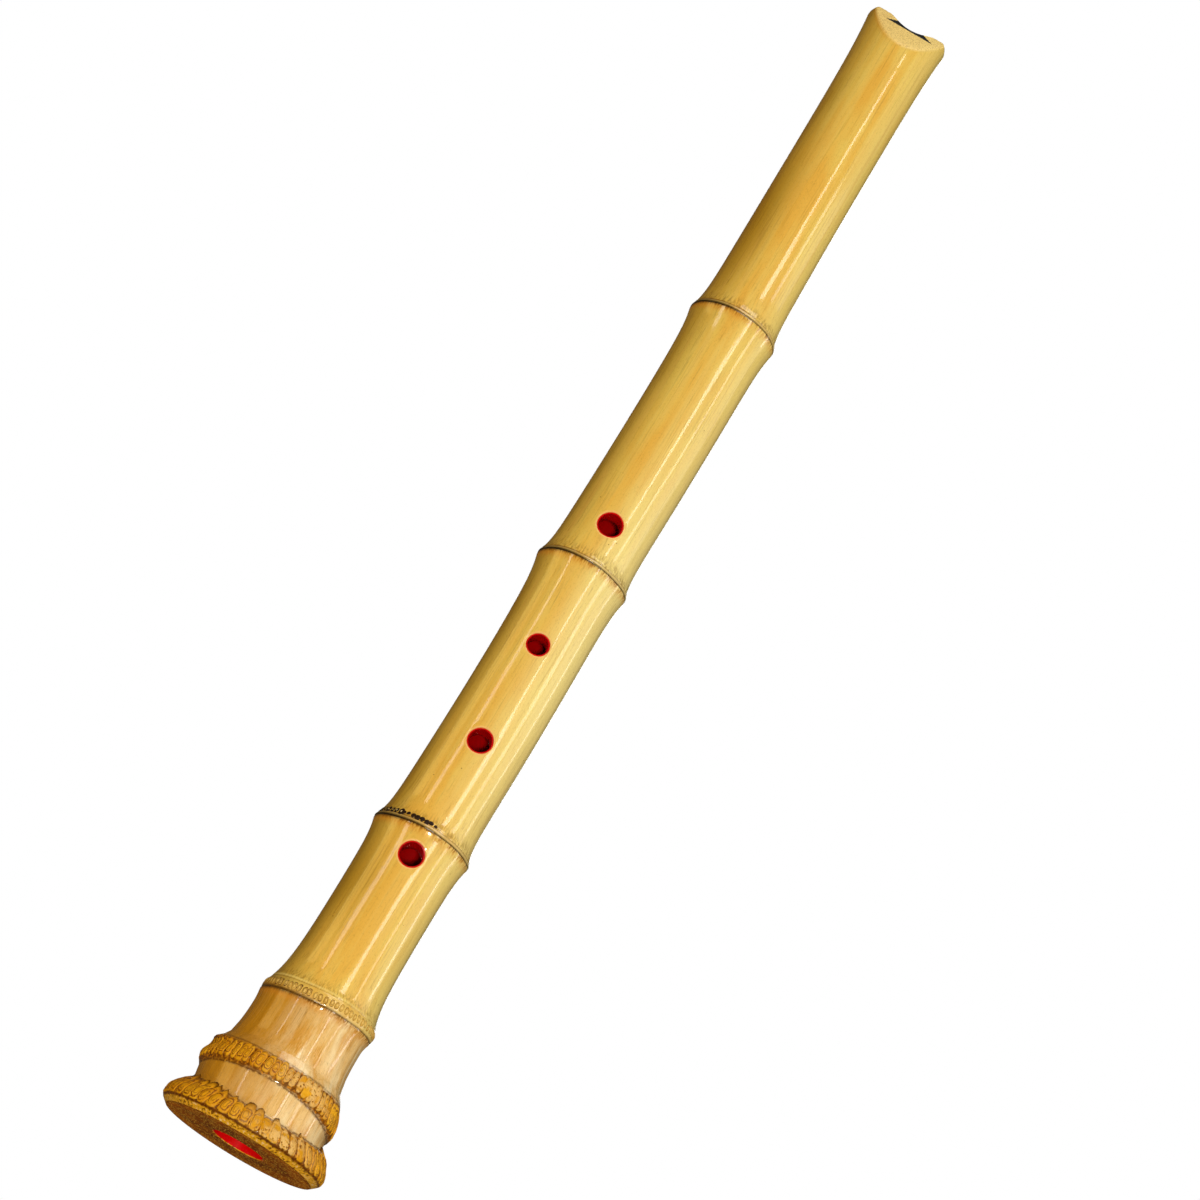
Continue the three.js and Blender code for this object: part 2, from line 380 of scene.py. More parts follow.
def turned(name: str, outline: list[tuple[Any, Any]], segments: int) -> bpy.types.Object:
    """Makes a solid about Z from pairs of radius and height.

    Args:
        name: the object's name.
        outline: the pairs, from the lower end to the upper; either may be an array round the ring.
        segments: how many sides it has.

    Returns:
        The solid.
    """
    angle = around(segments)
    return shell(name, np.stack([
        np.stack([radius * np.sin(angle), -radius * np.cos(angle), height + 0 * angle], 1)
        for radius, height in outline]))


def carve(piece: bpy.types.Object, tool: bpy.types.Object, cut: Cut) -> None:
    """Cuts a piece with a tool solid or joins them, which uses the tool up.

    Args:
        piece: the piece, whose mesh is replaced.
        tool: the tool solid.
        cut: what it does.
    """
    step = piece.modifiers.new("cut", "BOOLEAN")
    step.operation = cut.value
    step.solver = "MANIFOLD"
    step.object = tool
    settle(piece)
    used = tool.data
    bpy.data.objects.remove(tool)
    bpy.data.meshes.remove(used)


def settle(piece: bpy.types.Object) -> None:
    """Turns a piece with its modifiers into a plain mesh.

    Args:
        piece: the piece, whose mesh is replaced.
    """
    graph = bpy.context.evaluated_depsgraph_get()
    made = bpy.data.meshes.new_from_object(piece.evaluated_get(graph))
    old = piece.data
    piece.modifiers.clear()
    piece.data = made
    bpy.data.meshes.remove(old)
    made.name = piece.name


def smooth(piece: bpy.types.Object, sharp_angle: float) -> None:
    """Shades a piece smooth, but for edges that turn by more than an angle in degrees."""
    piece.data.polygons.foreach_set("use_smooth", np.ones(len(piece.data.polygons), bool))
    piece.data.set_sharp_from_angle(angle=math.radians(sharp_angle))


def dress(piece: bpy.types.Object, material: bpy.types.Material, slot: Slot, *replaced: str) -> None:
    """Gives a piece its material and its place in the frame.

    Args:
        piece: the piece.
        material: its material.
        slot: the record's slot that the finish belongs to; not used.
        replaced: the CAD nodes that it stands for.
    """
    piece.data.materials.clear()
    piece.data.materials.append(material)
    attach(piece, BODY)
    if replaced:
        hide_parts(*replaced)
    log.info("%s: %d faces", piece.name, len(piece.data.polygons))


# The stalk and its holes -------------------------------------------------------------------------


@dataclass(frozen=True)
class NodeRidge:
    """One node of the stalk.

    The stalk swells over fade_below up to radius at height, keeps it for band and thins again over
    fade_above. The crease line leans by tilt, stands highest near the front by peak, wavers from phase
    on and is crease deep. A fainter line runs second_line above it.
    """

    height: float
    radius: float
    band: float
    fade_below: float
    fade_above: float
    tilt: float
    crease: float
    second_line: float
    phase: float
    peak: float
    peak_angle: float = 0.17
    waves: tuple[tuple[float, float, float], ...] = ((3, 1, 0.1), (7, 2, 0.06))

    @property
    def thin(self) -> bool:
        """Whether it is a thin ridge, with its two lines close together."""
        return self.second_line < 3

    def line_lift(self, angle: Any, sine: Callable[[Any], Any]) -> Any:
        """How far the crease line runs above its mean height.

        Args:
            angle: the angle, as numbers or a signal.
            sine: the sine for that kind.

        Returns:
            The lift in millimetres.
        """
        aside = sine(angle - self.peak_angle)
        lift = sine(angle) * self.tilt - aside * aside * self.peak
        for turns, phases, swing in self.waves:
            lift = lift + sine(angle * turns + self.phase * phases) * swing
        return lift


@dataclass(frozen=True)
class Unevenness:
    """A place where the root end grew out of true.

    It is centred on an angle in degrees and on the row of the outline that passes the rear at a
    height, reaches that many degrees round and is so tall. There the radius grows and the row hangs.
    """

    angle: float
    rear: float
    reach: float
    tall: float
    growth: float
    hang: float = 0.0


@dataclass(frozen=True)
class Hole:
    """A hole in the wall: height and radius of its lacquered wall, and the side it opens on."""

    height: float
    radius: float
    side: int = -1


@dataclass(frozen=True)
class Stalk:
    """The outer form of the bamboo, as the solids have it, with the finer forms of its surface."""

    length: float = 545
    foot_face_radius: float = 30.6
    foot_rim_radius: float = 33.2
    foot_rim_height: float = 2.2
    foot_ring_radius: float = 33.35
    foot_ring_height: float = 3.6
    foot_ring_front_drop: float = 4.4
    foot_ring_bulge: float = 1.7
    waist_radius: float = 27.2
    waist_height: float = 14.8
    waist_length: float = 2
    upper_ring_radius: float = 28.4
    upper_ring_height: float = 20
    upper_ring_front_rise: float = 5.2
    upper_ring_middle_radius: float = 27.5
    upper_ring_middle_height: float = 24.8
    upper_ring_top_radius: float = 26.2
    upper_ring_top_height: float = 29.6
    shoulder_radius: float = 23.4
    shoulder_height: float = 34
    shoulder_fade: float = 6
    nodes: tuple[NodeRidge, ...] = (
        NodeRidge(height=55, radius=22.7, band=3, fade_below=2.5, fade_above=8.5,
                  tilt=1.2, crease=0.3, second_line=5.2, phase=0.4, peak=0),
        NodeRidge(height=132.4, radius=20.5, band=0.4, fade_below=6, fade_above=4.8,
                  tilt=0.1, crease=0.4, second_line=1.5, phase=1.3, peak=0.6),
        NodeRidge(height=257.0, radius=19.9, band=0.4, fade_below=8, fade_above=5.2,
                  tilt=0.1, crease=0.34, second_line=1.4, phase=2.9, peak=0.2),
        NodeRidge(height=382.1, radius=19.4, band=0.4, fade_below=8, fade_above=6.2,
                  tilt=-0.1, crease=0.34, second_line=1.4, phase=4.6, peak=0.2),
    )
    radii: tuple[float, ...] = (21.7, 18.5, 17.7, 17.5, 16.8)
    sway_heights: tuple[float, ...] = (3.6, 20, 52, 58, 132.4, 257.2, 382.6, 545)
    sways: tuple[float, ...] = (0, -0.7, -0.7, -0.05, 0.15, 0.1, 0.65, -0.55)
    bows: tuple[float, ...] = (0, 0, 0, 0, 0.85, 0.6, 0)
    mouth_radius: float = 18.7
    mouth_fade: float = 17
    rim_rounding: float = 2.3
    facet_depth: float = 7.2
    facet_angle: float = math.radians(31.5)
    facet_softness: float = 1.1
    facet_crispness: float = 0.1
    facet_fade: float = 8
    facet_rows: float = 26
    segments: int = 200
    row_step: float = 0.5
    row_softness: float = 0.8
    line_reach: float = 11
    crease_width: float = 0.34
    rib_reach: float = 24
    tube_radius: float = 18
    uneven: tuple[Unevenness, ...] = (
        Unevenness(-90, 13.6, 50, 2.8, -1.0),
        Unevenness(-90, 9.6, 45, 2.6, -0.7),
        Unevenness(-90, 25.0, 40, 1.9, -0.7),
        Unevenness(-88, 29.4, 40, 1.5, 1.1),
        Unevenness(102, 18.5, 45, 3.2, 0.5, 2.2),
        Unevenness(95, 11.8, 40, 2.2, 0.9),
    )

    def out_of_true(self, angle: Any, rear: float) -> tuple[Any, Any]:
        """How the root end departs from an even form.

        Args:
            angle: the angle, between half a turn back and half a turn on.
            rear: the height at which the row of the outline passes the rear.

        Returns:
            The extra radius and how far the row hangs down.
        """
        growth, hang = angle * 0.0, angle * 0.0
        for place in self.uneven:
            share = hump(angle - math.radians(place.angle), math.radians(place.reach))
            share = share * hump(rear - place.rear, place.tall)
            growth = growth + place.growth * share
            hang = hang + place.hang * share
        return growth, hang

    def radius_at(self, height: Any) -> Any:
        """Radius of the tube at heights above the shoulder of the root.

        Args:
            height: the heights, or one.

        Returns:
            The radii.
        """
        below = np.searchsorted([node.height for node in self.nodes], height, side="right")
        plain = np.array(self.radii)[below]
        radius = plain
        for index, node in enumerate(self.nodes):
            swell, over = node.radius - plain, height - node.height
            thinned = np.exp(-np.maximum(0, over - node.band) / node.fade_above)
            swelled = np.exp(np.minimum(0, over) / node.fade_below)
            radius = radius + (below == index + 1) * swell * thinned + (below == index) * swell * swelled
        under = (self.shoulder_height - height) / self.shoulder_fade
        shoulder = (self.shoulder_radius - plain) * np.exp(under)
        mouth = (self.mouth_radius - plain) * np.exp((height - self.length) / self.mouth_fade)
        return radius + (below == 0) * shoulder + (below == len(self.nodes)) * mouth

    def sway_at(self, height: Any) -> Any:
        """Sideways shift of the centre line at heights.

        Args:
            height: the heights, or one.

        Returns:
            The shifts towards +X.
        """
        heights, sways = np.array(self.sway_heights), np.array(self.sways)
        upper = np.clip(np.searchsorted(heights, height), 1, len(heights) - 1)
        start, end = heights[upper - 1], heights[upper]
        share = np.clip((height - start) / (end - start), 0, 1)
        bow = np.array(self.bows)[upper - 1] * np.sin(np.pi * share)
        return sways[upper - 1] * (1 - share) + sways[upper] * share + bow

    def stand(self, radius: Any, height: Any, angle: Any) -> np.ndarray:
        """Points at a radius, a height and an angle about the swaying centre line."""
        height = height + 0 * angle
        return np.stack([radius * np.sin(angle) + self.sway_at(height), -radius * np.cos(angle), height], -1)

    def root_rows(self) -> np.ndarray:
        """The outline of the root end, evenly stepped and rounded off.

        Returns:
            Rows of radius, height at the rear, rise of the front, and share of knobbly surface.
        """
        rise, drop = self.upper_ring_front_rise, -self.foot_ring_front_drop
        waist, waist_top = self.waist_radius, self.waist_height + self.waist_length
        rows = [(self.foot_face_radius, 0, 0, 0), (self.foot_rim_radius, self.foot_rim_height, 0, 0.5)]
        for share in (0, 0.25, 0.5, 0.75, 0.92):
            bulge = (self.foot_ring_radius - waist) * (1 - share ** self.foot_ring_bulge)
            height = self.foot_ring_height + share * (self.waist_height - self.foot_ring_height)
            rows.append((waist + bulge, height, share * drop, 1 - share ** 4))
        rows += [
            (waist, self.waist_height, drop, 0),
            (waist, waist_top, rise, 0),
            ((waist + self.upper_ring_radius) / 2, (waist_top + self.upper_ring_height) / 2, rise, 0.6),
            (self.upper_ring_radius, self.upper_ring_height, rise, 1),
            (self.upper_ring_middle_radius, self.upper_ring_middle_height, rise / 2, 1),
            (self.upper_ring_top_radius, self.upper_ring_top_height, 0, 0.5),
            (self.shoulder_radius, self.shoulder_height, 0, 0),
        ]
        rows = np.array(rows, float)
        middle = np.stack([rows[:, 0], rows[:, 1] + rows[:, 2] / 2], 1)
        along = np.concatenate([[0], np.cumsum(np.hypot(*np.diff(middle, axis=0).T))])
        even = np.arange(0, along[-1], self.row_step)
        fine = np.stack([np.interp(even, along, column) for column in rows.T], 1)
        kernel = hump(np.arange(-4, 5) * self.row_step, self.row_softness)
        kernel /= kernel.sum()
        padded = np.concatenate([2 * fine[0] - fine[4:0:-1], fine, 2 * fine[-1] - fine[-2:-6:-1]])
        soft = np.stack([np.convolve(column, kernel, "valid") for column in padded.T], 1)
        soft[0] = rows[0]
        return soft

    def tube_heights(self) -> np.ndarray:
        """Heights of the tube's rings: close together at the creases and the mouth.

        Returns:
            The heights, from above the shoulder to below the rim.
        """
        top = self.length - self.rim_rounding
        close = top - self.facet_rows
        marks = [np.arange(self.shoulder_height + 0.5, close, 5.0), np.arange(close, top, 0.7)]
        for node in self.nodes:
            upper = node.second_line + 1.2
            for start, end, step in ((-2.6, upper, 0.2 if node.thin else 0.3), (-14, -2.8, 1.1),
                                     (upper + 0.3, upper + 12, 1.1)):
                marks.append(node.height + np.arange(start, end, step))
        heights = np.unique(np.round(np.concatenate(marks), 3))
        heights = heights[(heights > self.shoulder_height + 0.3) & (heights < top - 0.2)]
        kept = [heights[0]]
        for height in heights[1:]:
            if height - kept[-1] > 0.15:
                kept.append(height)
        return np.array(kept)

    def ripple(self, angle: Any, height: Any) -> Any:
        """Slow unevenness of a grown surface.

        Args:
            angle: angles.
            height: heights.

        Returns:
            How far the surface stands out, in millimetres.
        """
        slow = np.sin(2 * angle + height / 37 + 1.1) * 0.07 + np.sin(3 * angle - height / 23 + 0.4) * 0.05
        ribs = np.sin(17 * angle + np.sin(height / 19)) * 0.018 + np.sin(31 * angle - height / 41) * 0.012
        return slow + ribs * (1 + 2.5 * hump(height - self.shoulder_height, self.rib_reach))

    def rings(self) -> np.ndarray:
        """All the rings of the bare stalk, from the foot to the mouth.

        Returns:
            Points in millimetres.
        """
        angle = around(self.segments)
        front, signed = frontness(angle), np.where(angle > math.pi, angle - FULL_TURN, angle)
        face = np.linspace(self.foot_face_radius / 8, self.foot_face_radius, 7, endpoint=False)
        made = [(radius, 0.0) for radius in face]
        for radius, rear, rise, knobs in self.root_rows():
            height = rear + rise * front
            lumps = (np.sin(48 * angle + 1.4 * np.sin(5 * angle)) * 0.16
                     + np.sin(11 * angle + height / 2.1) * 0.14
                     + np.sin(19 * angle - height / 1.7) * 0.1 + np.sin(5 * angle + height / 6) * 0.1)
            swell = knobs * lumps + min(1.0, rear / self.foot_rim_height) * self.ripple(angle, height)
            growth, hang = self.out_of_true(signed, rear)
            made.append((radius + swell + growth, np.maximum(height - hang, 0)))
        for mark in self.tube_heights():
            height, cut = mark, 0.0
            for node in self.nodes:
                away = mark - node.height
                line = away - node.second_line
                height = height + hump(away, self.line_reach) * node.line_lift(angle, np.sin)
                cut = cut - node.crease * (hump(away, self.crease_width) + 0.4 * hump(line, 0.22)
                                           - 0.12 * hump(line - 0.7, 0.5))
            made.append((self.radius_at(mark) + cut + self.ripple(angle, height), height))
        bottom = self.length - self.rim_rounding
        rim = self.radius_at(bottom)
        for turn in np.linspace(0, math.pi / 2, 7):
            height = bottom + self.rim_rounding * math.sin(turn)
            inset = self.rim_rounding * (1 - math.cos(turn))
            made.append((rim - inset + self.ripple(angle, height) * math.cos(turn), height))
        made += [(radius, self.length) for radius in np.linspace(rim - self.rim_rounding, 1, 9)[1:]]
        return self.sliced(np.stack([self.stand(radius, height, angle) for radius, height in made]))

    def sliced(self, points: np.ndarray) -> np.ndarray:
        """Presses points that stand past the sloping cut onto it, with a soft border.

        Args:
            points: the points.

        Returns:
            The pressed points.
        """
        outward = np.array([0, -math.cos(self.facet_angle), math.sin(self.facet_angle)])
        past = (points - np.array([0, -self.facet_depth, self.length])) @ outward
        low = np.clip((self.length - points[..., 2]) / self.facet_fade, 0, 1)
        softness = self.facet_crispness + (self.facet_softness - self.facet_crispness) * low
        pressed = (past + np.sqrt(past ** 2 + softness ** 2)) / 2
        pressed = np.where(past < -6 * softness, 0, pressed)
        return points - pressed[..., None] * outward

    def on_root(self, rows: np.ndarray, rear: float, angle: float) -> np.ndarray:
        """A point on the smooth surface of the root end.

        Args:
            rows: the outline of the root end.
            rear: the height at which that row of the outline passes the rear.
            angle: the angle.

        Returns:
            The point.
        """
        radius, rise = (np.interp(rear, rows[1:, 1], rows[1:, column]) for column in (0, 2))
        growth, hang = self.out_of_true(math.remainder(angle, FULL_TURN), rear)
        return self.stand(radius + growth, rear + rise * frontness(angle) - hang, angle)

    def on_tube(self, height: float, angle: float) -> np.ndarray:
        """A point on the smooth surface of the tube, at a height and an angle."""
        return self.stand(self.radius_at(height), height, angle)

    def front_depth(self, x: np.ndarray, z: np.ndarray) -> np.ndarray:
        """Distance of the surface from the XZ plane, at places x across and heights z."""
        radius = self.radius_at(z) + self.ripple(np.arcsin(np.clip(x / self.tube_radius, -1, 1)), z)
        return np.sqrt(radius ** 2 - (x - self.sway_at(z)) ** 2)


@dataclass(frozen=True)
class Bore:
    """The bore of the flute, its linings and its holes."""

    stalk: Stalk
    mouth_radius: float = 9.8
    height_shares: tuple[float, ...] = (0, 0.06, 0.12, 0.2, 0.46, 0.7, 1)
    radius_shares: tuple[float, ...] = (1.05, 0.93, 0.86, 0.81, 0.91, 0.97, 1)
    rim_width: float = 1.2
    rim_depth: float = 0.6
    rim_reach: float = 5
    worn_width: float = 4.5
    worn_depth: float = 3.6
    bare_mouth: float = 9.6
    lacquer: float = 0.5
    raw_margin: float = 2.1
    joint: float = 0.02
    collar: float = 3
    recess: float = 0.25
    hole_chamfer: float = 0.4
    segments: int = 96
    hole_segments: int = 64
    holes: tuple[Hole, ...] = (Hole(121.5, 5.1), Hole(173.2, 5.1), Hole(217.8, 4.65), Hole(275.4, 5.3),
                               Hole(311.5, 5.1, 1))

    @property
    def lining_top(self) -> float:
        """The height at which the lining and the lacquer end."""
        return self.stalk.length - self.bare_mouth

    @property
    def rim_start(self) -> float:
        """The height at which the eased edge at the mouth takes over."""
        return self.stalk.length - self.rim_reach

    def radius_at(self, height: float) -> float:
        """Radius of the finished bore at a height."""
        marks = np.array(self.height_shares) * self.stalk.length
        return float(self.mouth_radius * np.interp(height, marks, self.radius_shares))

    def wall(self, bottom: float, top: float, margin: float) -> list[tuple[float, float]]:
        """The bore's outline between two heights.

        Args:
            bottom: the lower height.
            top: the upper height.
            margin: how much wider than the finished bore.

        Returns:
            Radius and height pairs.
        """
        marks = [share * self.stalk.length for share in self.height_shares]
        heights = [bottom, *[mark for mark in marks if bottom < mark < top], top]
        return [(self.radius_at(height) + margin, height) for height in heights]

    def rim(self) -> list[tuple[Any, Any]]:
        """The eased edge of the bore at the mouth, which is worn wider towards the front.

        Returns:
            Radii and heights round the ring, up to a stretch past the rim.
        """
        radius, top = self.radius_at(self.stalk.length), self.stalk.length
        front = frontness(around(self.segments))
        width = self.rim_width + self.worn_width * front
        depth = self.rim_depth + self.worn_depth * front
        slope = [(radius + width * share, top - depth * (1 - share) ** 2) for share in np.linspace(0, 1, 7)]
        foot = top - self.rim_depth - self.worn_depth - 0.1
        return [(radius, foot), *slope, (radius + width, top + 2 * TOOL_OVERRUN)]

    def plug(self, name: str, hole: Hole, radius: float,
             steps: list[tuple[float, float]]) -> bpy.types.Object:
        """A rod through one wall, whose outer end follows the surface of the stalk.

        Args:
            name: the object's name.
            hole: the hole.
            radius: the rod's radius.
            steps: how much wider it gets, and at what height over the surface, towards its outer end.

        Returns:
            The rod.
        """
        angle = around(self.hole_segments)
        rings = [np.stack([radius * np.cos(angle), 0 * angle, hole.height + radius * np.sin(angle)], 1)]
        for wider, over in steps:
            x, z = (radius + wider) * np.cos(angle), hole.height + (radius + wider) * np.sin(angle)
            rings.append(np.stack([x, hole.side * (self.stalk.front_depth(x, z) + over), z], 1))
        return shell(name, np.stack(rings))


@dataclass
class HornInlay:
    """The black horn insert let into the sloping cut, which carries the blowing edge."""

    stalk: Stalk
    bore: Bore
    drop: float = 6.3
    foot_half_width: float = 11.2
    head_half_width: float = 1.6
    thickness: float = 2.2
    fit: float = 0.03
    bore_reach: float = 20
    eased_edge: float = 0.09
    sharp_angle: float = 30

    def dovetail(self, name: str, grown: float, run: float) -> bpy.types.Object:
        """The dovetail that the insert fills.

        Args:
            name: the object's name.
            grown: how much larger its seated sides are.
            run: how far it runs out past its open sides.

        Returns:
            The solid.
        """
        stalk = self.stalk
        flare = (self.foot_half_width - self.head_half_width) / self.drop
        foot = self.foot_half_width + grown * (1 + flare)
        head = self.head_half_width + grown - run * flare
        low = -self.drop - grown
        points = np.array([[(-foot, depth, low), (foot, depth, low), (head, depth, run), (-head, depth, run)]
                           for depth in (run, -self.thickness - grown)], float)
        cosine, sine = math.cos(stalk.facet_angle), math.sin(stalk.facet_angle)
        x, out, up = points[..., 0], points[..., 1], points[..., 2]
        y = -out * cosine + up * sine - stalk.facet_depth
        z = out * sine + up * cosine + stalk.length
        return shell(name, np.stack([x, y, z], -1))

    def pocket(self) -> bpy.types.Object:
        """What the insert takes out of the bamboo."""
        return self.dovetail("pocket_tool", self.fit, TOOL_OVERRUN)

    def build(self) -> None:
        """Makes the insert and dresses it."""
        bore = self.bore
        inlay = self.dovetail("horn_inlay", 0, 0)
        cavity = [*bore.wall(self.stalk.length - self.bore_reach, bore.rim_start, 0), *bore.rim()]
        carve(inlay, turned("bore_tool", cavity, bore.segments), Cut.TAKE_AWAY)
        bevel = inlay.modifiers.new("eased edges", "BEVEL")
        bevel.width, bevel.segments, bevel.limit_method = self.eased_edge * METRES, 2, "ANGLE"
        bevel.angle_limit = math.radians(self.sharp_angle)
        settle(inlay)
        smooth(inlay, self.sharp_angle)
        dress(inlay, HornFinish().material(), Slot.HORN, "edge_inlay")


@dataclass
class BambooCulm:
    """The bamboo: the whole stalk, cut for the bore, the holes and the horn insert."""

    stalk: Stalk
    bore: Bore
    horn: HornInlay
    sharp_angle: float = 38
    foot_face_depth: float = 0.02
    mouth_face_depth: float = 0.05

    def build(self) -> bpy.types.Object:
        """Makes the bamboo and dresses it.

        Returns:
            The piece.
        """
        culm = shell("bamboo_culm", self.stalk.rings())
        bore, joint, dish = self.bore, self.bore.joint, self.bore.hole_chamfer
        cavity = [*bore.wall(-TOOL_OVERRUN, bore.collar, bore.lacquer + joint),
                  *bore.wall(bore.collar, bore.lining_top + joint, bore.raw_margin),
                  *bore.wall(bore.lining_top + joint, bore.rim_start, 0), *bore.rim()]
        carve(culm, turned("bore_tool", cavity, bore.segments), Cut.TAKE_AWAY)
        steps = [(joint, -dish), (joint + 0.1 * dish, -0.45 * dish), (0.45 * dish, -0.1 * dish),
                 (dish, 0.0), (3 * dish, dish), (3 * dish, 3)]
        for hole in bore.holes:
            carve(culm, bore.plug("hole_tool", hole, hole.radius + joint, steps), Cut.TAKE_AWAY)
        carve(culm, self.horn.pocket(), Cut.TAKE_AWAY)
        smooth(culm, self.sharp_angle)
        self.finish(culm)
        return culm

    def finish(self, culm: bpy.types.Object) -> None:
        """Gives the bamboo its finish, with end grain on its two sawn faces.

        Args:
            culm: the piece.
        """
        dress(culm, BambooFinish(self.stalk, self.bore).material(), Slot.BAMBOO, "culm")
        for grain in (
            EndGrainFinish("foot_end_grain", rgb(122, 59, 4), rgb(190, 101, 6), rgb(248, 188, 70)),
            EndGrainFinish("mouth_end_grain", rgb(196, 150, 84), rgb(216, 176, 108), rgb(164, 112, 50)),
        ):
            culm.data.materials.append(grain.material())
        foot = self.foot_face_depth * METRES
        mouth = (self.stalk.length - self.mouth_face_depth) * METRES
        for face in culm.data.polygons:
            if face.center.z < foot and face.normal.z < -0.9:
                face.material_index = 1
            elif face.center.z > mouth and face.normal.z > 0.9:
                face.material_index = 2


@dataclass
class LacquerCoat:
    """The red lacquer film: one tube along the bore, with a sleeve in every hole."""

    bore: Bore
    sharp_angle: float = 38
    sleeve_gap: float = 0.02

    def build(self) -> None:
        """Makes the film and dresses it."""
        bore, top = self.bore, self.bore.lining_top
        film = turned("lacquer_film", bore.wall(bore.recess, top, bore.lacquer), bore.segments)
        end = [(0, -bore.hole_chamfer - self.sleeve_gap)]
        for hole in bore.holes:
            carve(film, bore.plug("sleeve", hole, hole.radius, end), Cut.ADD)
        cavity = bore.wall(-TOOL_OVERRUN, top + TOOL_OVERRUN, 0)
        carve(film, turned("bore_tool", cavity, bore.segments), Cut.TAKE_AWAY)
        end = [(0, 2 * TOOL_OVERRUN)]
        for hole in bore.holes:
            carve(film, bore.plug("hole_tool", hole, hole.radius - bore.lacquer, end), Cut.TAKE_AWAY)
        smooth(film, self.sharp_angle)
        dress(film, LacquerFinish().material(), Slot.LACQUER, "lacquer_coat")


# Rootlet marks -----------------------------------------------------------------------------------


class MarkTree:
    """The node tree that sets raised oval marks on a surface, one at each seat."""

    KINDS = {"Seats": "Geometry", "Surface": "Object", "Relief": "Float", "Dimple": "Float",
             "Sink": "Float", "Squareness": "Float", "Size Spread": "Float", "Sides": "Int",
             "Rings": "Int", "Seed": "Int", "Finish": "Material"}
    EDGE_SINK = 0.04 * METRES

    def __init__(self) -> None:
        """Builds the tree."""
        self.tree = bpy.data.node_groups.new("rootlet_marks", "GeometryNodeTree")
        sockets = self.tree.interface
        self.inputs = {
            name: sockets.new_socket(name, in_out="INPUT", socket_type="NodeSocket" + kind).identifier
            for name, kind in self.KINDS.items()}
        sockets.new_socket("Marks", in_out="OUTPUT", socket_type="NodeSocketGeometry")
        self.graph = Graph(self.tree)
        given = self.graph.node("NodeGroupInput")
        self.value = {name: Signal(self.graph, given.outputs[name]) for name in self.inputs}
        marks = self.set_out(self.disc())
        self.graph.node("NodeGroupOutput", inputs={0: self.shaped(marks)})

    def disc(self) -> Signal:
        """Makes one flat mark, between round and square, that stores the place of each point.

        Returns:
            The mark.
        """
        graph, value = self.graph, self.value
        disc = graph.add("GeometryNodeMeshCylinder", {"fill_type": "TRIANGLE_FAN"},
                         {"Vertices": value["Sides"], "Fill Segments": value["Rings"], "Radius": 1.0,
                          "Depth": 1.0})
        here = graph.add("GeometryNodeInputPosition")
        disc = graph.add("GeometryNodeStoreNamedAttribute", {"data_type": "FLOAT_VECTOR"},
                         {"Geometry": disc, "Name": "mark", "Value": here})
        x, y, z = graph.parts(here)
        power = value["Squareness"]
        square = (x.size() ** power + y.size() ** power) ** (1 / power)
        wider = distance(x, y) / square.most(1e-4)
        return graph.add("GeometryNodeSetPosition",
                         inputs={0: disc, "Position": graph.point(x * wider, y * wider, z)})

    def set_out(self, disc: Signal) -> Signal:
        """Sets a mark on every seat, each a little larger or smaller and with a tone of its own.

        Args:
            disc: one mark.

        Returns:
            The marks as real geometry.
        """
        graph, value = self.graph, self.value
        spread = value["Size Spread"]
        grown = graph.draw(1 - spread, 1 + spread, value["Seed"])
        turn = graph.add("FunctionNodeEulerToRotation", inputs={0: graph.stored("turn")})
        marks = graph.add("GeometryNodeInstanceOnPoints", inputs={
            "Points": value["Seats"], "Instance": disc, "Rotation": turn,
            "Scale": graph.stored("span").scaled(grown)})
        tone = graph.draw(0.0, 1.0, value["Seed"] + 1)
        marks = graph.add("GeometryNodeStoreNamedAttribute", {"data_type": "FLOAT", "domain": "INSTANCE"},
                          {"Geometry": marks, "Name": "tone", "Value": tone})
        return graph.add("GeometryNodeRealizeInstances", inputs={0: marks})

    def shaped(self, marks: Signal) -> Signal:
        """Lays the marks on the surface, domed and dimpled, with their undersides sunk into it.

        Args:
            marks: the flat marks.

        Returns:
            The marks with their finish.
        """
        graph, value = self.graph, self.value
        surface = graph.add("GeometryNodeObjectInfo", inputs={"Object": value["Surface"]}, output="Geometry")
        near = graph.add("GeometryNodeProximity", {"target_element": "FACES"},
                         {0: surface, "Sample Position": graph.add("GeometryNodeInputPosition")})
        x, y, z = graph.parts(graph.stored("mark"))
        away = x * x + y * y
        dome = (1 - away).most(0.0) ** 0.5 - value["Dimple"] * (1 - away * 6).most(0.0)
        over = z.rise(-0.1, 0.1)
        height = over * dome * value["Relief"] - (1 - over) * value["Sink"]
        height = height - away.rise(0.9, 1.0) * self.EDGE_SINK
        place = near.moved(graph.stored("outward").scaled(height))
        marks = graph.add("GeometryNodeSetPosition", inputs={0: marks, "Position": place})
        marks = graph.add("GeometryNodeSetShadeSmooth", inputs={0: marks})
        return graph.add("GeometryNodeSetMaterial", inputs={0: marks, "Material": value["Finish"]})


class Band(Enum):
    """Where on the stalk a row of rootlet marks runs."""

    FOOT_RING = "foot ring"
    UPPER_RING = "upper ring"
    ROOT_NODE = "root node"
    LOWER_NODE = "lower node"


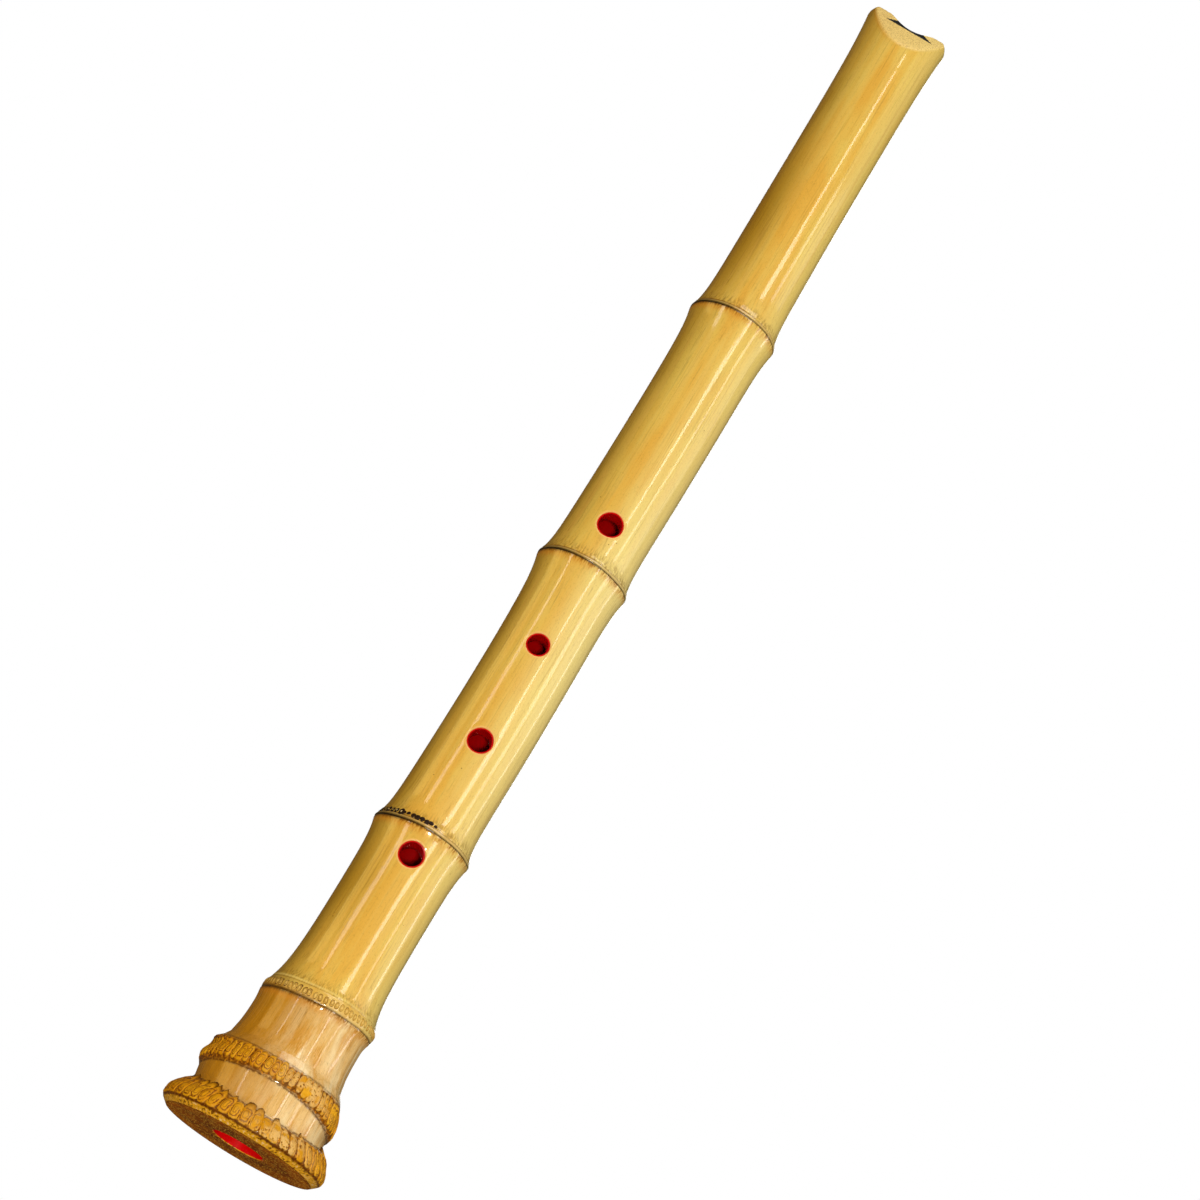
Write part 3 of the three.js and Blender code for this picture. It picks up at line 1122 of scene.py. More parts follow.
@dataclass(frozen=True)
class RootletMarks:
    """One row of rootlet marks: what it looks like and where it runs.

    The row runs from start to end, in degrees. Its marks are width across and tall at the front, or
    tall_rear at the rear, and relief high.
    """

    name: str
    stalk: Stalk
    band: Band
    count: int
    height: float
    width: float
    tall: float
    tall_rear: float
    relief: float
    dimple: float
    squareness: float
    size_spread: float
    seed: int
    start: float = -180
    end: float = 180
    sink: float = 0.4
    lean: float = 5
    lift_spread: float = 0.25
    step_spread: float = 0.12
    width_spread: tuple[float, float] = (0.92, 1.1)
    sides: int = 12
    rings: int = 3
    probe: float = 0.6
    probe_angle: float = 0.01

    def surface_point(self, rows: np.ndarray, height: float, angle: float) -> np.ndarray:
        """The point of the row's surface at a height and an angle.

        Args:
            rows: the outline of the root end.
            height: the height, at the rear where the band leans.
            angle: the angle.

        Returns:
            The point.
        """
        if self.band in (Band.FOOT_RING, Band.UPPER_RING):
            return self.stalk.on_root(rows, height, angle)
        node = self.stalk.nodes[0 if self.band is Band.ROOT_NODE else 1]
        return self.stalk.on_tube(height + node.line_lift(angle, math.sin), angle)

    def seats(self) -> bpy.types.Object:
        """Makes the points that the marks sit on, with their direction and size.

        Returns:
            An object of loose points.
        """
        draw = np.random.default_rng(self.seed)
        rows = self.stalk.root_rows()
        step = math.radians(self.end - self.start) / self.count
        places, outwards, turns, spans = [], [], [], []
        for index in range(self.count):
            shift = draw.uniform(-self.step_spread, self.step_spread)
            angle = math.radians(self.start) + (index + 0.5 + shift) * step
            height = self.height + draw.uniform(-1, 1) * self.lift_spread
            above, below = (self.surface_point(rows, height + to, angle) for to in (self.probe, -self.probe))
            right, left = (self.surface_point(rows, height, angle + to)
                           for to in (self.probe_angle, -self.probe_angle))
            out = Vector(right - left).cross(Vector(above - below)).normalized()
            lean = math.radians(draw.uniform(-1, 1) * self.lean)
            across = Vector(right - left).normalized()
            across = (across * math.cos(lean) + out.cross(across) * math.sin(lean)).normalized()
            front = frontness(angle)
            places.append(self.surface_point(rows, height, angle) * METRES)
            outwards.append(out)
            turns.append(Matrix((across, out.cross(across), out)).transposed().to_euler())
            spans.append((self.width / 2 * METRES * draw.uniform(*self.width_spread),
                          (self.tall * front + self.tall_rear * (1 - front)) / 2 * METRES, METRES))
        mesh = bpy.data.meshes.new(self.name)
        mesh.from_pydata([tuple(place) for place in places], [], [])
        for name, values in (("outward", outwards), ("turn", turns), ("span", spans)):
            stored = mesh.attributes.new(name, "FLOAT_VECTOR", "POINT")
            stored.data.foreach_set("vector", np.array([tuple(v) for v in values], np.float32).ravel())
        return make_object(self.name, mesh)

    def build(self, tree: MarkTree, surface: bpy.types.Object, finish: bpy.types.Material) -> None:
        """Makes the row and dresses it.

        Args:
            tree: the node tree of the marks.
            surface: the piece that they sit on.
            finish: their material.
        """
        piece = self.seats()
        step = piece.modifiers.new("marks", "NODES")
        step.node_group = tree.tree
        sizes = {"Surface": surface, "Relief": self.relief * METRES, "Dimple": self.dimple,
                 "Sink": self.sink * METRES, "Squareness": self.squareness, "Size Spread": self.size_spread,
                 "Sides": self.sides, "Rings": self.rings, "Seed": self.seed, "Finish": finish}
        for name, value in sizes.items():
            step[tree.inputs[name]] = value
        settle(piece)
        dress(piece, finish, Slot.BAMBOO)


@dataclass
class Rootlets:
    """All that the roots left on the stalk: the knobs of the two rings and the scars of two nodes."""

    stalk: Stalk
    surface: bpy.types.Object

    def rows(self) -> list[tuple[RootletMarks, bpy.types.Material]]:
        """Lists the rows with their materials.

        Returns:
            The rows, from the foot up.
        """
        knob = MarkFinish("golden_rootlets", skin=rgb(204, 133, 6), light=rgb(230, 168, 26),
                          core=rgb(214, 150, 16), line=rgb(124, 62, 4), border_dark=rgb(74, 28, 3),
                          line_strength=1.3, border=0.8, worn_share=1.0).material()
        scar = MarkFinish("pale_rootlets", skin=rgb(200, 150, 58), light=rgb(222, 178, 88),
                          core=rgb(230, 192, 106), line=rgb(84, 46, 6), border_dark=rgb(96, 56, 10),
                          line_strength=1.5, border=0.66, loop_width=0.8, loop_tall=0.8,
                          faint_right=0.6).material()
        # Black pits, each with a cream core that is a painted highlight.
        pit = MarkFinish("outlined_pits", skin=rgb(36, 18, 6), light=rgb(60, 34, 10),
                         core=rgb(238, 208, 148), line=rgb(14, 6, 2), border_dark=rgb(14, 6, 2),
                         line_strength=0.5, border=0.3, loop_width=0.42, loop_tall=0.48,
                         side_dark=1.0, core_share=1.0, unevenness=0.3).material()
        bud = MarkFinish("dark_buds", skin=rgb(40, 20, 6), light=rgb(60, 34, 10), core=rgb(20, 10, 4),
                         line=rgb(18, 8, 3), border_dark=rgb(30, 14, 4), line_strength=0.9,
                         border=0.6).material()
        stalk = self.stalk
        return [
            (RootletMarks("foot_ring_knobs", stalk, Band.FOOT_RING, count=48, height=6.9, width=4.8,
                          tall=13.6, tall_rear=18.0, relief=0.6, dimple=0.15, squareness=3.0,
                          size_spread=0.07, seed=3), knob),
            (RootletMarks("upper_ring_knobs", stalk, Band.UPPER_RING, count=62, height=22.6, width=3.1,
                          tall=9.6, tall_rear=12.4, relief=0.5, dimple=0.2, squareness=3.2,
                          size_spread=0.09, seed=5), knob),
            (RootletMarks("root_node_rootlets", stalk, Band.ROOT_NODE, count=66, height=57.5, width=2.0,
                          tall=3.9, tall_rear=3.9, relief=0.16, dimple=0.4, squareness=2.2,
                          size_spread=0.12, seed=7, sink=0.2), scar),
            (RootletMarks("lower_node_pits", stalk, Band.LOWER_NODE, count=24, height=134.9, width=2.3,
                          tall=3.0, tall_rear=3.0, relief=0.16, dimple=0.5, squareness=2.2,
                          size_spread=0.2, seed=13, start=-196, end=-34, sink=0.2), pit),
            (RootletMarks("lower_node_buds", stalk, Band.LOWER_NODE, count=8, height=134.9, width=2.1,
                          tall=2.0, tall_rear=2.0, relief=0.16, dimple=0.5, squareness=2.2,
                          size_spread=0.22, seed=11, start=-36, end=9, sink=0.2), bud),
        ]

    def build(self) -> None:
        """Makes every row."""
        tree = MarkTree()
        for row, finish in self.rows():
            row.build(tree, self.surface, finish)
        bpy.data.node_groups.remove(tree.tree)


# Finishes ----------------------------------------------------------------------------------------


@dataclass(frozen=True)
class MarkFinish:
    """Rootlet scars: a polished skin with fine rings and a border darkened by painted shade."""

    name: str
    skin: Colour
    light: Colour
    core: Colour
    line: Colour
    border_dark: Colour
    line_strength: float
    border: float
    loop_width: float = 0.6
    loop_tall: float = 0.56
    roughness: float = 0.38
    side_dark: float = 0.4
    line_width: float = 0.13
    core_share: float = 0.6
    unevenness: float = 0.9
    worn: Colour = rgb(228, 182, 104)
    worn_share: float = 0.0
    worn_angle: float = 0.45
    faint_right: float = 0.0

    def material(self) -> bpy.types.Material:
        """Builds the material.

        Returns:
            The material.
        """
        shader = Shader(self.name)
        mark = shader.add("ShaderNodeAttribute", {"attribute_name": "mark"}, output="Vector")
        tone = shader.add("ShaderNodeAttribute", {"attribute_name": "tone"}, output="Fac")
        across, along, _ = shader.parts(mark)
        where, angle = shader.spot(), shader.angle()
        wobble = (shader.noise(where, 0.5) - 0.5) * self.unevenness
        lumps = shader.noise(where, 0.7, 4)
        drift = shader.noise(where, 0.22, 2)
        specks = shader.noise(where, 2.2)
        loop = distance(across / self.loop_width, along / self.loop_tall) + wobble
        clear = 1 - angle.rise(-0.05, 0.3) * self.faint_right
        lines = loop.bell(1.0, self.line_width) * 0.9 + loop.bell(0.5, 0.1) * 0.6
        lines = lines * drift.rise(0.3, 0.5) * clear
        edge = (distance(across, along) + wobble * 0.25).rise(self.border, 1.0) * clear
        broken = (angle.bell(self.worn_angle, 0.4) * drift.rise(0.34, 0.5)).held() * self.worn_share
        colour = shader.layers(
            self.skin,
            (self.light, (tone * 0.8 + lumps - 0.5).held()),
            (self.core, loop.rise(0.75, 0.3) * self.core_share),
            (self.line, (lines * self.line_strength * (lumps + 0.4)).held()),
            (self.worn, broken * lumps.rise(0.35, 0.5)),
            (self.border_dark, broken * lumps.rise(0.42, 0.34) * 0.9),
            # Painted shade round each mark's edge: full at its upper and lower ends, side_dark of it at its
            # sides.
            (self.border_dark, edge * (self.side_dark + along * along * (1 - self.side_dark))),
            (self.line, specks.rise(0.6, 0.72) * 0.45))
        height = 1 - lines * 0.5 - edge * 0.5 + lumps * (0.5 + broken * 1.5)
        return shader.finish(Base_Color=colour, Roughness=self.roughness + lumps * 0.1,
                             Specular_IOR_Level=0.12, Normal=shader.bump(height, 0.15))


class BambooSkin(Shader):
    """The bamboo's shader, with the places and patterns that its colours and its relief share."""

    def __init__(self, stalk: Stalk) -> None:
        """Starts the material with the patterns for that stalk."""
        super().__init__("polished_bamboo")
        where, lengthwise = self.spot(), self.spot(1, 1, 0.02)
        self.x, self.y, self.z = self.place
        self.round = self.angle()
        self.left = -self.round
        self.fine = self.noise(lengthwise, 1.6, 4, 0.6)
        self.broad = self.noise(lengthwise, 0.28)
        self.streaks = self.noise(lengthwise, 2.4, 5, 0.65)
        self.clouds = self.noise(self.spot(1, 1, 0.3), 0.09, 4)
        self.speckle = self.noise(self.spot(1, 1, 0.4), 2.6, 3, 0.7)
        self.lumps = self.noise(where, 0.9, 4)
        self.ragged = (self.noise(where, 0.5) - 0.5) * 2.6
        # The left side, where painted shade darkens the colour.
        self.shaded_side = self.left.rise(0.22, 1.28) * self.left.rise(3.0, 2.2)
        front = (1 + self.round.cos()) / 2
        front = front * front
        hang = self.round.bell(1.78, 0.79) * 1.66
        waist_top = stalk.waist_height + stalk.waist_length
        self.over_foot_ring = self.z - (stalk.waist_height - front * stalk.foot_ring_front_drop)
        self.over_waist = self.z - (waist_top + front * stalk.upper_ring_front_rise) + hang

    def pinholes(self) -> Signal:
        """The mask of sparse dark pinholes in the skin.

        Returns:
            The mask.
        """
        cells = self.node("ShaderNodeTexVoronoi", {"feature": "F1"}, {"Vector": self.spot(), "Scale": 0.16})
        chosen = self.parts(Signal(self, cells.outputs["Color"]))[0]
        return Signal(self, cells.outputs["Distance"]).rise(0.05, 0.025) * chosen.rise(0.45, 0.5)


@dataclass(frozen=True)
class BambooFinish:
    """Oiled and polished bamboo, drier and darker on the root end."""

    stalk: Stalk
    bore: Bore
    honey: Colour = rgb(224, 172, 70)
    straw: Colour = rgb(226, 194, 94)
    pale: Colour = rgb(234, 206, 118)
    light_straw: Colour = rgb(242, 224, 152)
    olive: Colour = rgb(170, 124, 14)
    orange: Colour = rgb(202, 126, 30)
    tan: Colour = rgb(214, 161, 78)
    left_shade_brown: Colour = rgb(184, 122, 6)
    blush: Colour = rgb(228, 186, 118)
    bleached: Colour = rgb(240, 210, 156)
    bloom: Colour = rgb(246, 226, 178)
    fibre: Colour = rgb(118, 74, 14)
    crease_dark: Colour = rgb(24, 12, 4)
    scar: Colour = rgb(196, 160, 102)
    ring: Colour = rgb(196, 120, 14)
    ring_shade_and_dirt: Colour = rgb(84, 36, 4)
    rim: Colour = rgb(232, 166, 32)
    cut: Colour = rgb(238, 208, 126)
    pale_edge: Colour = rgb(240, 186, 112)
    varnish: Colour = rgb(255, 226, 150)
    root_border: tuple[float, float] = (58, 54)
    left_shade_height: float = 425
    left_shade_reach: float = 42
    low_left_shade_height: float = 104
    low_left_shade_reach: float = 18
    light_height: float = 235
    light_reach: float = 110
    overhang_shadow_angle: float = 1.85
    overhang_shadow_height: float = 16.6

    def material(self) -> bpy.types.Material:
        """Builds the material.

        Returns:
            The material.
        """
        skin = BambooSkin(self.stalk)
        root = skin.z.rise(*self.root_border)
        rings, shade_and_dirt_lines = self.rings(skin)
        # Painted shadow under the upper ring's overhang on the right.
        overhang_shadow = skin.round.bell(self.overhang_shadow_angle, 0.5) * skin.z.bell(self.overhang_shadow_height, 2.6)
        past = self.past_cut(skin)
        rough_cut = past.rise(-1.3, -0.2)
        colour = skin.mix(self.tube_colour(skin), self.root_colour(skin), root)
        for node in self.stalk.nodes:
            colour = self.node_marks(skin, colour, node)
        colour = skin.layers(
            colour,
            (self.ring_colour(skin), rings),
            # Dark lines along the ring borders: painted shade, with some dirt.
            (self.ring_shade_and_dirt, shade_and_dirt_lines * skin.lumps.rise(0.3, 0.5) * 0.85),
            (self.ring_shade_and_dirt, overhang_shadow),
            (self.pale_edge, self.hole_edges(skin) * (skin.lumps + 0.3).held()),
            (self.cut_colour(skin), rough_cut * 0.85),
            # Painted shade along the left border of the sloping cut.
            (self.orange, past.bell(-0.9, 0.7) * skin.round.rise(0.1, -0.8) * 0.32))
        polish = 0.2 + (skin.fine - 0.5) * 0.12 + root * 0.06 + rings * 0.1 + rough_cut * 0.3
        relief = skin.fine * 0.28 + skin.broad * 0.8 + skin.streaks * root * 0.7 + rings * skin.lumps * 1.5
        coat = (0.62 - skin.shaded_side * 0.5) * (1 - rough_cut) * (1 - rings * 0.8)
        return skin.finish(Base_Color=colour, Roughness=polish, Coat_Weight=coat, Coat_Roughness=0.07,
                           Specular_IOR_Level=0.35, Specular_Tint=self.varnish,
                           Normal=skin.bump(relief, 0.1))

    def tube_colour(self, skin: BambooSkin) -> Signal:
        """The colour of the tube: yellow, with painted shade that darkens the side to the left of the holes
        and painted sheen that pales the right side.

        Args:
            skin: the shader.

        Returns:
            The colour.
        """
        angle, left, z, shaded_side = skin.round, skin.left, skin.z, skin.shaded_side
        yellow = ((skin.clouds - 0.5) * 2.4 + (skin.broad - 0.5) * 1.2 + angle.size().rise(-0.4, 1.5) * 0.9
                  + z.rise(110, 330) * 0.15)
        low_left_shade = z.bell(self.low_left_shade_height, self.low_left_shade_reach) * 0.8
        left_shade = z.bell(self.left_shade_height, self.left_shade_reach) + low_left_shade
        light = z.bell(self.light_height, self.light_reach) * angle.rise(-0.3, 0.5)
        return skin.layers(
            self.honey,
            (self.straw, yellow.held()),
            # Painted sheen: paler towards the right side.
            (self.pale, (angle.rise(0.2, 1.0) * 0.5 + (skin.broad - 0.5) * 1.4).held()),
            # Painted shade: olive over the left side, deeper at two heights.
            (self.olive, (shaded_side * 0.8 + (skin.clouds - 0.55) * shaded_side).held()),
            (self.olive, left_shade * left.rise(0.0, 0.8) * left.rise(2.4, 1.4) * 0.7),
            (self.light_straw, light * 0.55),
            (self.orange, skin.broad.rise(0.54, 0.8) * 0.3),
            (self.fibre, skin.fine.rise(0.52, 0.74) * (0.3 + shaded_side * 0.2)),
            (self.fibre, skin.speckle.rise(0.5, 0.78) * (0.3 + shaded_side * 0.15)),
            (self.fibre, skin.pinholes() * 0.8))

    def root_colour(self, skin: BambooSkin) -> Signal:
        """The colour of the root end: dry, darkened on the left by painted shade, paled on the right by
        painted sheen, and bleached in soft bands.

        Args:
            skin: the shader.

        Returns:
            The colour.
        """
        angle, left = skin.round, skin.left
        drifts = skin.noise(skin.spot(1, 1, 0.35), 0.2, 5, 0.68)
        bands = skin.noise(skin.spot(1, 1, 0.12), 0.24, 2, 0.4)
        fibres = skin.streaks.rise(0.54, 0.7) * 0.42 + skin.speckle.rise(0.5, 0.75) * 0.3
        return skin.layers(
            self.tan,
            # Blush in soft drifts, with painted sheen adding more of it towards the right side.
            (self.blush, (drifts.rise(0.42, 0.6) * 0.8 + angle.sin().rise(-0.1, 0.9) * 0.3).held()),
            (self.orange, drifts.rise(0.5, 0.38) * 0.3),
            (self.bleached, skin.streaks.rise(0.5, 0.34) * 0.35),
            (self.bloom, (bands.rise(0.46, 0.66) * (0.36 + angle.rise(-0.3, 0.7) * 0.2)).held()),
            # Painted shade: darker brown over the left side.
            (self.left_shade_brown, left.rise(-0.4, 0.85) * left.rise(3.0, 2.2) * 0.95),
            (self.fibre, fibres.held()))

    def rings(self, skin: BambooSkin) -> tuple[Signal, Signal]:
        """The masks of the two root rings and of the dark lines along their borders, painted shade with some
        dirt.

        Args:
            skin: the shader.

        Returns:
            The rings and the borders.
        """
        ragged, top = skin.ragged, self.stalk.upper_ring_top_height
        foot_ring = (skin.over_foot_ring + ragged).rise(-0.7, -1.5)
        upper_ring = (skin.over_waist + ragged).rise(0.0, 0.9) * (skin.z + ragged).rise(top + 0.6, top - 0.4)
        waver = ragged * 0.4
        shade_and_dirt_lines = (skin.over_foot_ring + waver).bell(-0.6, 0.4).most((skin.over_waist + waver).bell(0.0, 0.5))
        return foot_ring.most(upper_ring), shade_and_dirt_lines.most((skin.z + waver).bell(top + 0.8, 0.4) * 0.7)

    def ring_colour(self, skin: BambooSkin) -> Signal:
        """The colour of the root rings, with a mottled rim at the foot.

        Args:
            skin: the shader.

        Returns:
            The colour.
        """
        edge = self.stalk.foot_rim_height
        rim = (skin.z + skin.ragged * 0.25).rise(edge - 0.3, edge - 0.9)
        return skin.layers(
            self.ring,
            # Dark mottling that also stands for painted shade between the knobs, then painted shade along the
            # rim's upper edge.
            (self.ring_shade_and_dirt, skin.lumps.rise(0.36, 0.55) * 0.85),
            (self.ring_shade_and_dirt, (skin.z + skin.ragged * 0.3).bell(edge, 0.6) * 0.7),
            (self.rim, rim * skin.lumps.rise(0.66, 0.5) * 0.95),
            (self.bleached, rim * skin.lumps.rise(0.42, 0.34) * 0.6))

    def cut_colour(self, skin: BambooSkin) -> Signal:
        """The colour of the sloping cut: bare wood with open pores.

        Args:
            skin: the shader.

        Returns:
            The colour.
        """
        pores = skin.noise(skin.spot(1, 2.0, 1.2), 1.5, 3, 0.7)
        fibres = pores.rise(0.48, 0.66) * 0.6 + skin.speckle.rise(0.5, 0.8) * 0.3
        return skin.layers(self.cut, (self.orange, skin.clouds.rise(0.5, 0.8) * 0.3),
                           (self.fibre, fibres.held()))

    def past_cut(self, skin: BambooSkin) -> Signal:
        """How far a point lies past the plane of the sloping cut.

        Args:
            skin: the shader.

        Returns:
            The distance in millimetres.
        """
        back, up = -math.cos(self.stalk.facet_angle), math.sin(self.stalk.facet_angle)
        reach = -self.stalk.facet_depth * back + self.stalk.length * up
        return skin.y * back + skin.z * up - reach

    def hole_edges(self, skin: BambooSkin) -> Signal:
        """The mask of the pale ring that wear leaves round every hole.

        Args:
            skin: the shader.

        Returns:
            The mask.
        """
        mask = skin.x * 0.0
        for hole in self.bore.holes:
            away = distance(skin.x, skin.z - hole.height) - hole.radius
            mask = mask.most(away.rise(0.95, 0.45) * (skin.y * hole.side).rise(4, 6))
        return mask

    def node_marks(self, skin: BambooSkin, colour: Signal, node: NodeRidge) -> Signal:
        """Adds the lines, the pale scar and the stains of one node, with painted shade in the crease and on
        the left, and a painted highlight along a thick node's ridge.

        Args:
            skin: the shader.
            colour: the colour so far.
            node: the node.

        Returns:
            The colour.
        """
        fine, second_line = skin.fine, node.second_line
        over = skin.z - node.height - node.line_lift(skin.round, lambda value: value.sin())
        left = skin.left.rise(-0.6, 0.9)
        under = over.rise(0.2, 0.0)
        stain = over.rise(-4.5, -0.4) * under * (fine.rise(0.36, 0.6) * 0.8 + left * 0.5).held()
        above = over.rise(second_line + 6.0, second_line) * over.rise(second_line - 0.2, second_line)
        gap = over.rise(0.1, 0.4) * over.rise(second_line, second_line - 0.3)
        coats = [
            (self.orange, stain * 0.85),
            (self.fibre, over.rise(-2.2, -0.2) * under * fine.rise(0.46, 0.58) * 0.7),
            (self.fibre, above * fine.rise(0.4, 0.6) * 0.5),
            (self.scar, gap * (0.5 if node.thin else 0.1)),
            # Second line, darkened further on the left by painted shade.
            (self.fibre, over.bell(second_line, 0.3) * (0.4 + left * 0.55) * (1.0 if node.thin else 0.4)),
        ]
        if not node.thin:
            # Painted highlight along the ridge above the second line.
            coats.append((self.pale, over.bell(second_line + 0.7, 0.45) * 0.6))
        # Dark node line in the crease, partly painted crease shade, darker and wider on the left.
        line = (over / (0.36 + left * 0.55)).bell(-0.1, 1.0)
        coats.append((self.crease_dark, line * (0.8 + left * 0.2) * (1.0 if node.thin else 0.8)))
        return skin.layers(colour, *coats)


@dataclass(frozen=True)
class EndGrainFinish:
    """A sawn face across the stalk, with a pale dot for every fibre bundle."""

    name: str
    dark: Colour
    middle: Colour
    dot: Colour

    def material(self) -> bpy.types.Material:
        """Builds the material.

        Returns:
            The material.
        """
        shader = Shader(self.name)
        flat = shader.spot(1, 1, 0)
        cells = shader.add("ShaderNodeTexVoronoi", {"feature": "F1"}, {"Vector": flat, "Scale": 0.95})
        patches = shader.noise(flat, 0.12)
        out = distance(*shader.place[:2])
        colour = shader.layers(
            self.dark,
            (self.middle, (patches.rise(0.35, 0.65) * 0.6 + out.rise(18, 31) * 0.5).held()),
            # Painted shadow: darker just inside the outer edge of the face.
            (self.dark, out.rise(28.5, 30.4) * 0.7),
            (self.dot, cells.rise(0.42, 0.22) * 0.9))
        return shader.finish(Base_Color=colour, Roughness=0.62 + patches * 0.2, Specular_IOR_Level=0.12,
                             Normal=shader.bump(cells, 0.15))


@dataclass(frozen=True)
class HornFinish:
    """Polished black horn."""

    black: Colour = rgb(4, 4, 4)
    brown: Colour = rgb(24, 17, 12)

    def material(self) -> bpy.types.Material:
        """Builds the material.

        Returns:
            The material.
        """
        shader = Shader("polished_horn")
        veins = shader.noise(shader.spot(0.3, 1, 1), 0.9, 4)
        colour = shader.mix(self.black, self.brown, veins.rise(0.55, 0.8) * 0.6)
        return shader.finish(Base_Color=colour, Roughness=0.3 + veins * 0.15, Specular_IOR_Level=0.2)


@dataclass(frozen=True)
class LacquerFinish:
    """Glossy red lacquer, brushed on in thin coats, with painted light making it brighter towards the foot.
    """

    lit_red: Colour = rgb(236, 4, 8)
    red: Colour = rgb(208, 2, 4)
    deep: Colour = rgb(186, 1, 3)

    def material(self) -> bpy.types.Material:
        """Builds the material.

        Returns:
            The material.
        """
        shader = Shader("red_lacquer")
        pools = shader.noise(shader.spot(), 0.25)
        brushed = shader.noise(shader.spot(1, 1, 0.1), 1.5)
        colour = shader.layers(self.red, (self.deep, pools.rise(0.4, 0.75) * 0.6),
                               # Painted light: brighter red towards the foot.
                               (self.lit_red, shader.place[2].rise(60, 30)))
        return shader.finish(Base_Color=colour, Roughness=0.16 + pools * 0.1, Coat_Weight=0.6,
                             Coat_Roughness=0.06, Normal=shader.bump(brushed, 0.03))


@dataclass(frozen=True)
class PasteFinish:
    """Dry grey-brown ground paste with fine grit."""

    grey: Colour = rgb(143, 130, 113)
    grit: Colour = rgb(92, 78, 62)

    def material(self) -> bpy.types.Material:
        """Builds the material.

        Returns:
            The material.
        """
        shader = Shader("ground_paste")
        specks = shader.noise(shader.spot(), 2.2, 5)
        colour = shader.mix(self.grey, self.grit, specks.rise(0.5, 0.75))
        return shader.finish(Base_Color=colour, Roughness=0.8 + specks * 0.15,
                             Normal=shader.bump(specks, 0.1))


# Studio ------------------------------------------------------------------------------------------


@dataclass(frozen=True)
class Softbox:
    """One lamp, set in metres and degrees by its direction from the flute."""

    name: str
    azimuth: float
    height: float
    distance: float
    width: float
    tall: float
    watts: float
    colour: Colour = (1.0, 0.98, 0.95)

    def hang(self, target: Vector) -> None:
        """Puts the lamp in the scene.

        Args:
            target: the point that it is turned to.
        """
        lamp = bpy.data.lights.new(self.name, "AREA")
        lamp.shape, lamp.size, lamp.size_y = "RECTANGLE", self.width, self.tall
        lamp.energy, lamp.color = self.watts, self.colour
        made = bpy.data.objects.new(self.name, lamp)
        turn = math.radians(self.azimuth)
        made.location = (self.distance * math.sin(turn), -self.distance * math.cos(turn), self.height)
        made.rotation_euler = (target - made.location).to_track_quat("-Z", "Y").to_euler()
        bpy.context.scene.collection.objects.link(made)


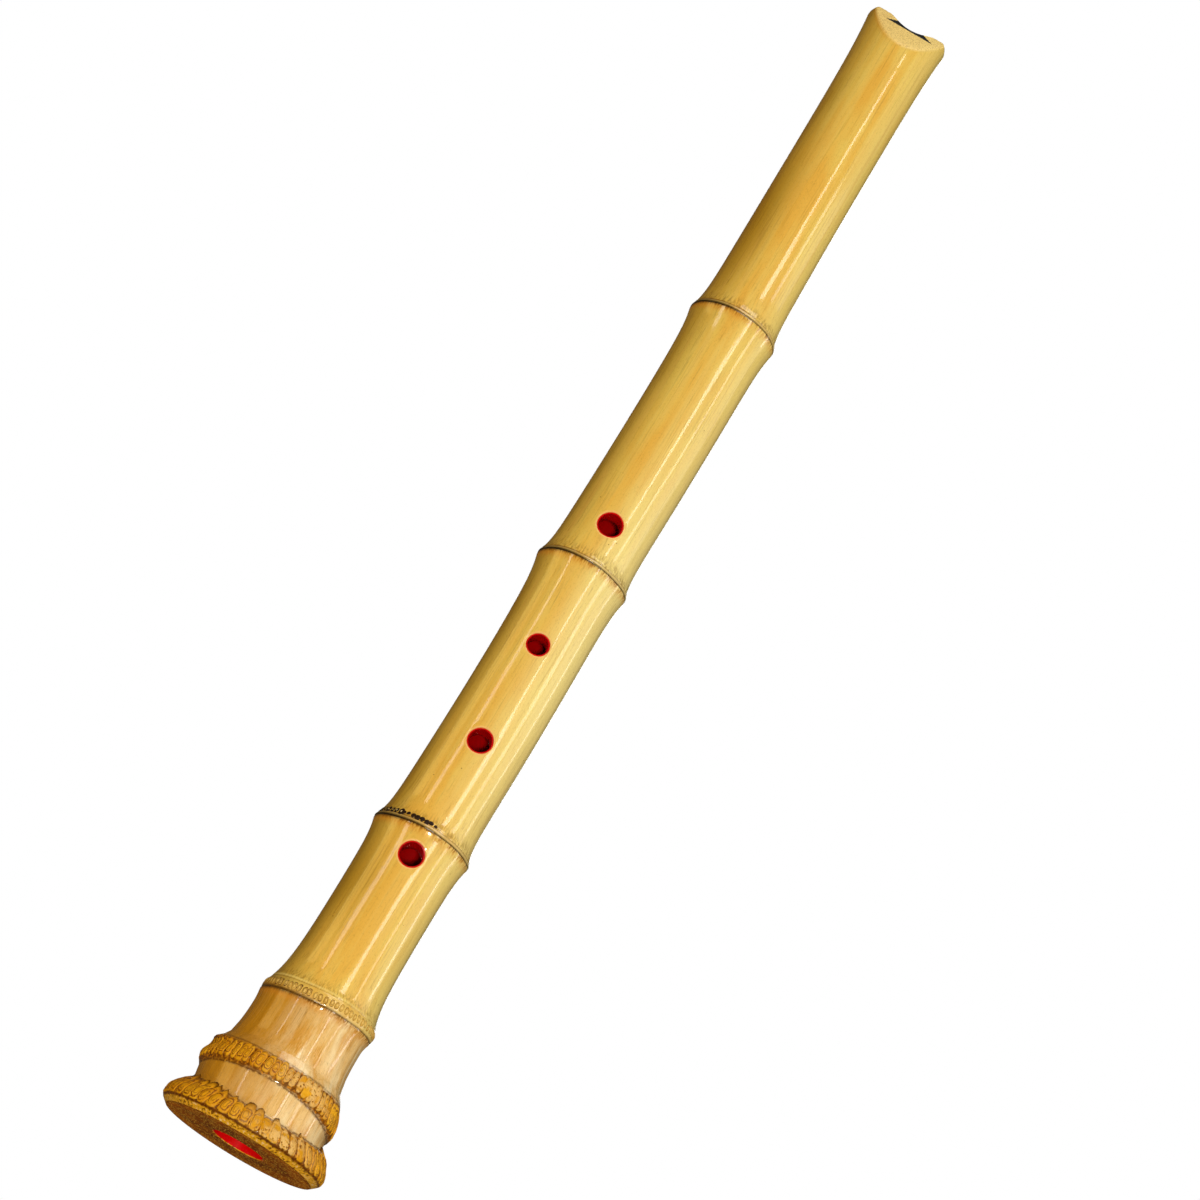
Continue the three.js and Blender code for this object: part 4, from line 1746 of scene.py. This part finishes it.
@dataclass(frozen=True)
class Studio:
    """Pale floor, soft lamps and the camera."""

    eye: tuple[float, float, float] = (37.235566, -1104.995511, -156.165757)
    turn: tuple[float, float, float] = (113.3199, -28.7891, -10.3729)
    lens: float = 90.27
    sensor: float = 36
    floor_drop: float = 0.5
    floor_size: float = 12
    floor_fade: tuple[float, float] = (250, 1450)
    floor_grey: Colour = rgb(236, 236, 234)
    floor_pale: Colour = rgb(244, 244, 242)
    backdrop: float = 1.0
    ambient: float = 0.09
    ambient_colour: Colour = (1.0, 0.86, 0.5)
    boxes: tuple[Softbox, ...] = (
        Softbox("front_key", 6.5, -0.45, 2.0, 0.16, 0.16, 16.2),
        Softbox("low_key", 3, -1.2, 1.3, 0.5, 0.3, 9.2),
        Softbox("overhead", 20, 2.3, 0.7, 1.2, 1.2, 17),
        Softbox("right_panel", 85, 0.65, 1.5, 0.8, 1.2, 3.2),
        Softbox("narrow_strip", 28, 0.6, 1.6, 0.14, 1.6, 6.6),
        Softbox("wide_strip", 59, 0.55, 1.6, 0.22, 1.5, 5.2),
        Softbox("left_fill", -75, 0.3, 1.6, 0.7, 1.0, 6, (1.0, 0.8, 0.3)),
        Softbox("edge_strip", 92, 0.35, 1.6, 0.1, 1.0, 2),
        Softbox("left_strip", -43, 0.35, 1.6, 0.2, 1.1, 3.6),
        Softbox("back_fill", 180, 1.0, 1.8, 0.6, 1.2, 6),
    )

    def floor(self) -> None:
        """Makes the floor, which is seen from above only and fades into the backdrop."""
        half, level = self.floor_size / 2, -self.floor_drop * METRES
        mesh = bpy.data.meshes.new("floor")
        mesh.from_pydata([(-half, -half, level), (half, -half, level), (half, half, level),
                          (-half, half, level)], [], [(0, 1, 2, 3)])
        floor = make_object("floor", mesh)
        shader = Shader("pale_floor")
        grain = shader.noise(shader.spot(1, 1, 0), 0.02, 2)
        colour = shader.mix(self.floor_grey, self.floor_pale, grain)
        paint = shader.add("ShaderNodeBsdfDiffuse", inputs={"Color": colour})
        glow = shader.add("ShaderNodeEmission", inputs={"Color": WHITE, "Strength": self.backdrop})
        far = distance(*shader.place[:2]).rise(*self.floor_fade)
        paint = shader.add("ShaderNodeMixShader", inputs={0: far, 1: paint, 2: glow})
        clear = shader.add("ShaderNodeBsdfTransparent")
        seen = shader.add("ShaderNodeLightPath", output="Is Camera Ray")
        behind = shader.add("ShaderNodeNewGeometry", output="Backfacing")
        both = shader.add("ShaderNodeMixShader", inputs={0: seen * (1 - behind), 1: clear, 2: paint})
        shader.node("ShaderNodeOutputMaterial", inputs={"Surface": both})
        mesh.materials.append(shader.material)
        floor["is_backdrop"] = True

    def world(self) -> None:
        """Makes the pale surroundings: white where they are seen, softer as light."""
        world = bpy.data.worlds.new("studio")
        bpy.context.scene.world = world
        world.use_nodes = True
        graph = Graph(world.node_tree)
        seen = graph.add("ShaderNodeLightPath", output="Is Camera Ray")
        tint = graph.mix(self.ambient_colour, WHITE, seen)
        strength = graph.add("ShaderNodeMapRange", inputs={"Value": seen, 3: self.ambient, 4: self.backdrop})
        back = graph.add("ShaderNodeBackground", inputs={"Color": tint, "Strength": strength})
        graph.node("ShaderNodeOutputWorld", inputs={"Surface": back})

    def camera(self) -> None:
        """Sets the camera where the picture was taken from."""
        lens = bpy.data.cameras.new("camera")
        lens.lens, lens.sensor_width, lens.clip_start, lens.clip_end = self.lens, self.sensor, 0.05, 30
        camera = bpy.data.objects.new("camera", lens)
        turn = Euler([math.radians(angle) for angle in self.turn]).to_matrix().to_4x4()
        camera.matrix_world = Matrix.Translation(Vector(self.eye) * METRES) @ turn
        bpy.context.scene.collection.objects.link(camera)
        bpy.context.scene.camera = camera

    def build(self, middle: Vector) -> None:
        """Makes everything round the flute.

        Args:
            middle: the point that the lamps are turned to.
        """
        self.camera()
        self.floor()
        self.world()
        for box in self.boxes:
            box.hang(middle)
        bpy.context.scene.view_settings.view_transform = "Standard"


def main() -> None:
    """Sets the studio up and builds the flute's pieces in order, each with its finish."""
    logging.basicConfig(level=logging.INFO, format="%(message)s")
    cad_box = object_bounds()
    Studio().build((cad_box[0] + cad_box[1]) / 2)
    stalk = Stalk()
    bore = Bore(stalk)
    horn = HornInlay(stalk, bore)

    culm = BambooCulm(stalk, bore, horn).build()
    horn.build()
    LacquerCoat(bore).build()
    Rootlets(stalk, culm).build()

    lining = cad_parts["ground_lining"]
    lining.data.materials.clear()
    lining.data.materials.append(PasteFinish().material())
    log.info("%s: kept as the solids have it", lining.name)


if __name__ == "__main__":
    main()
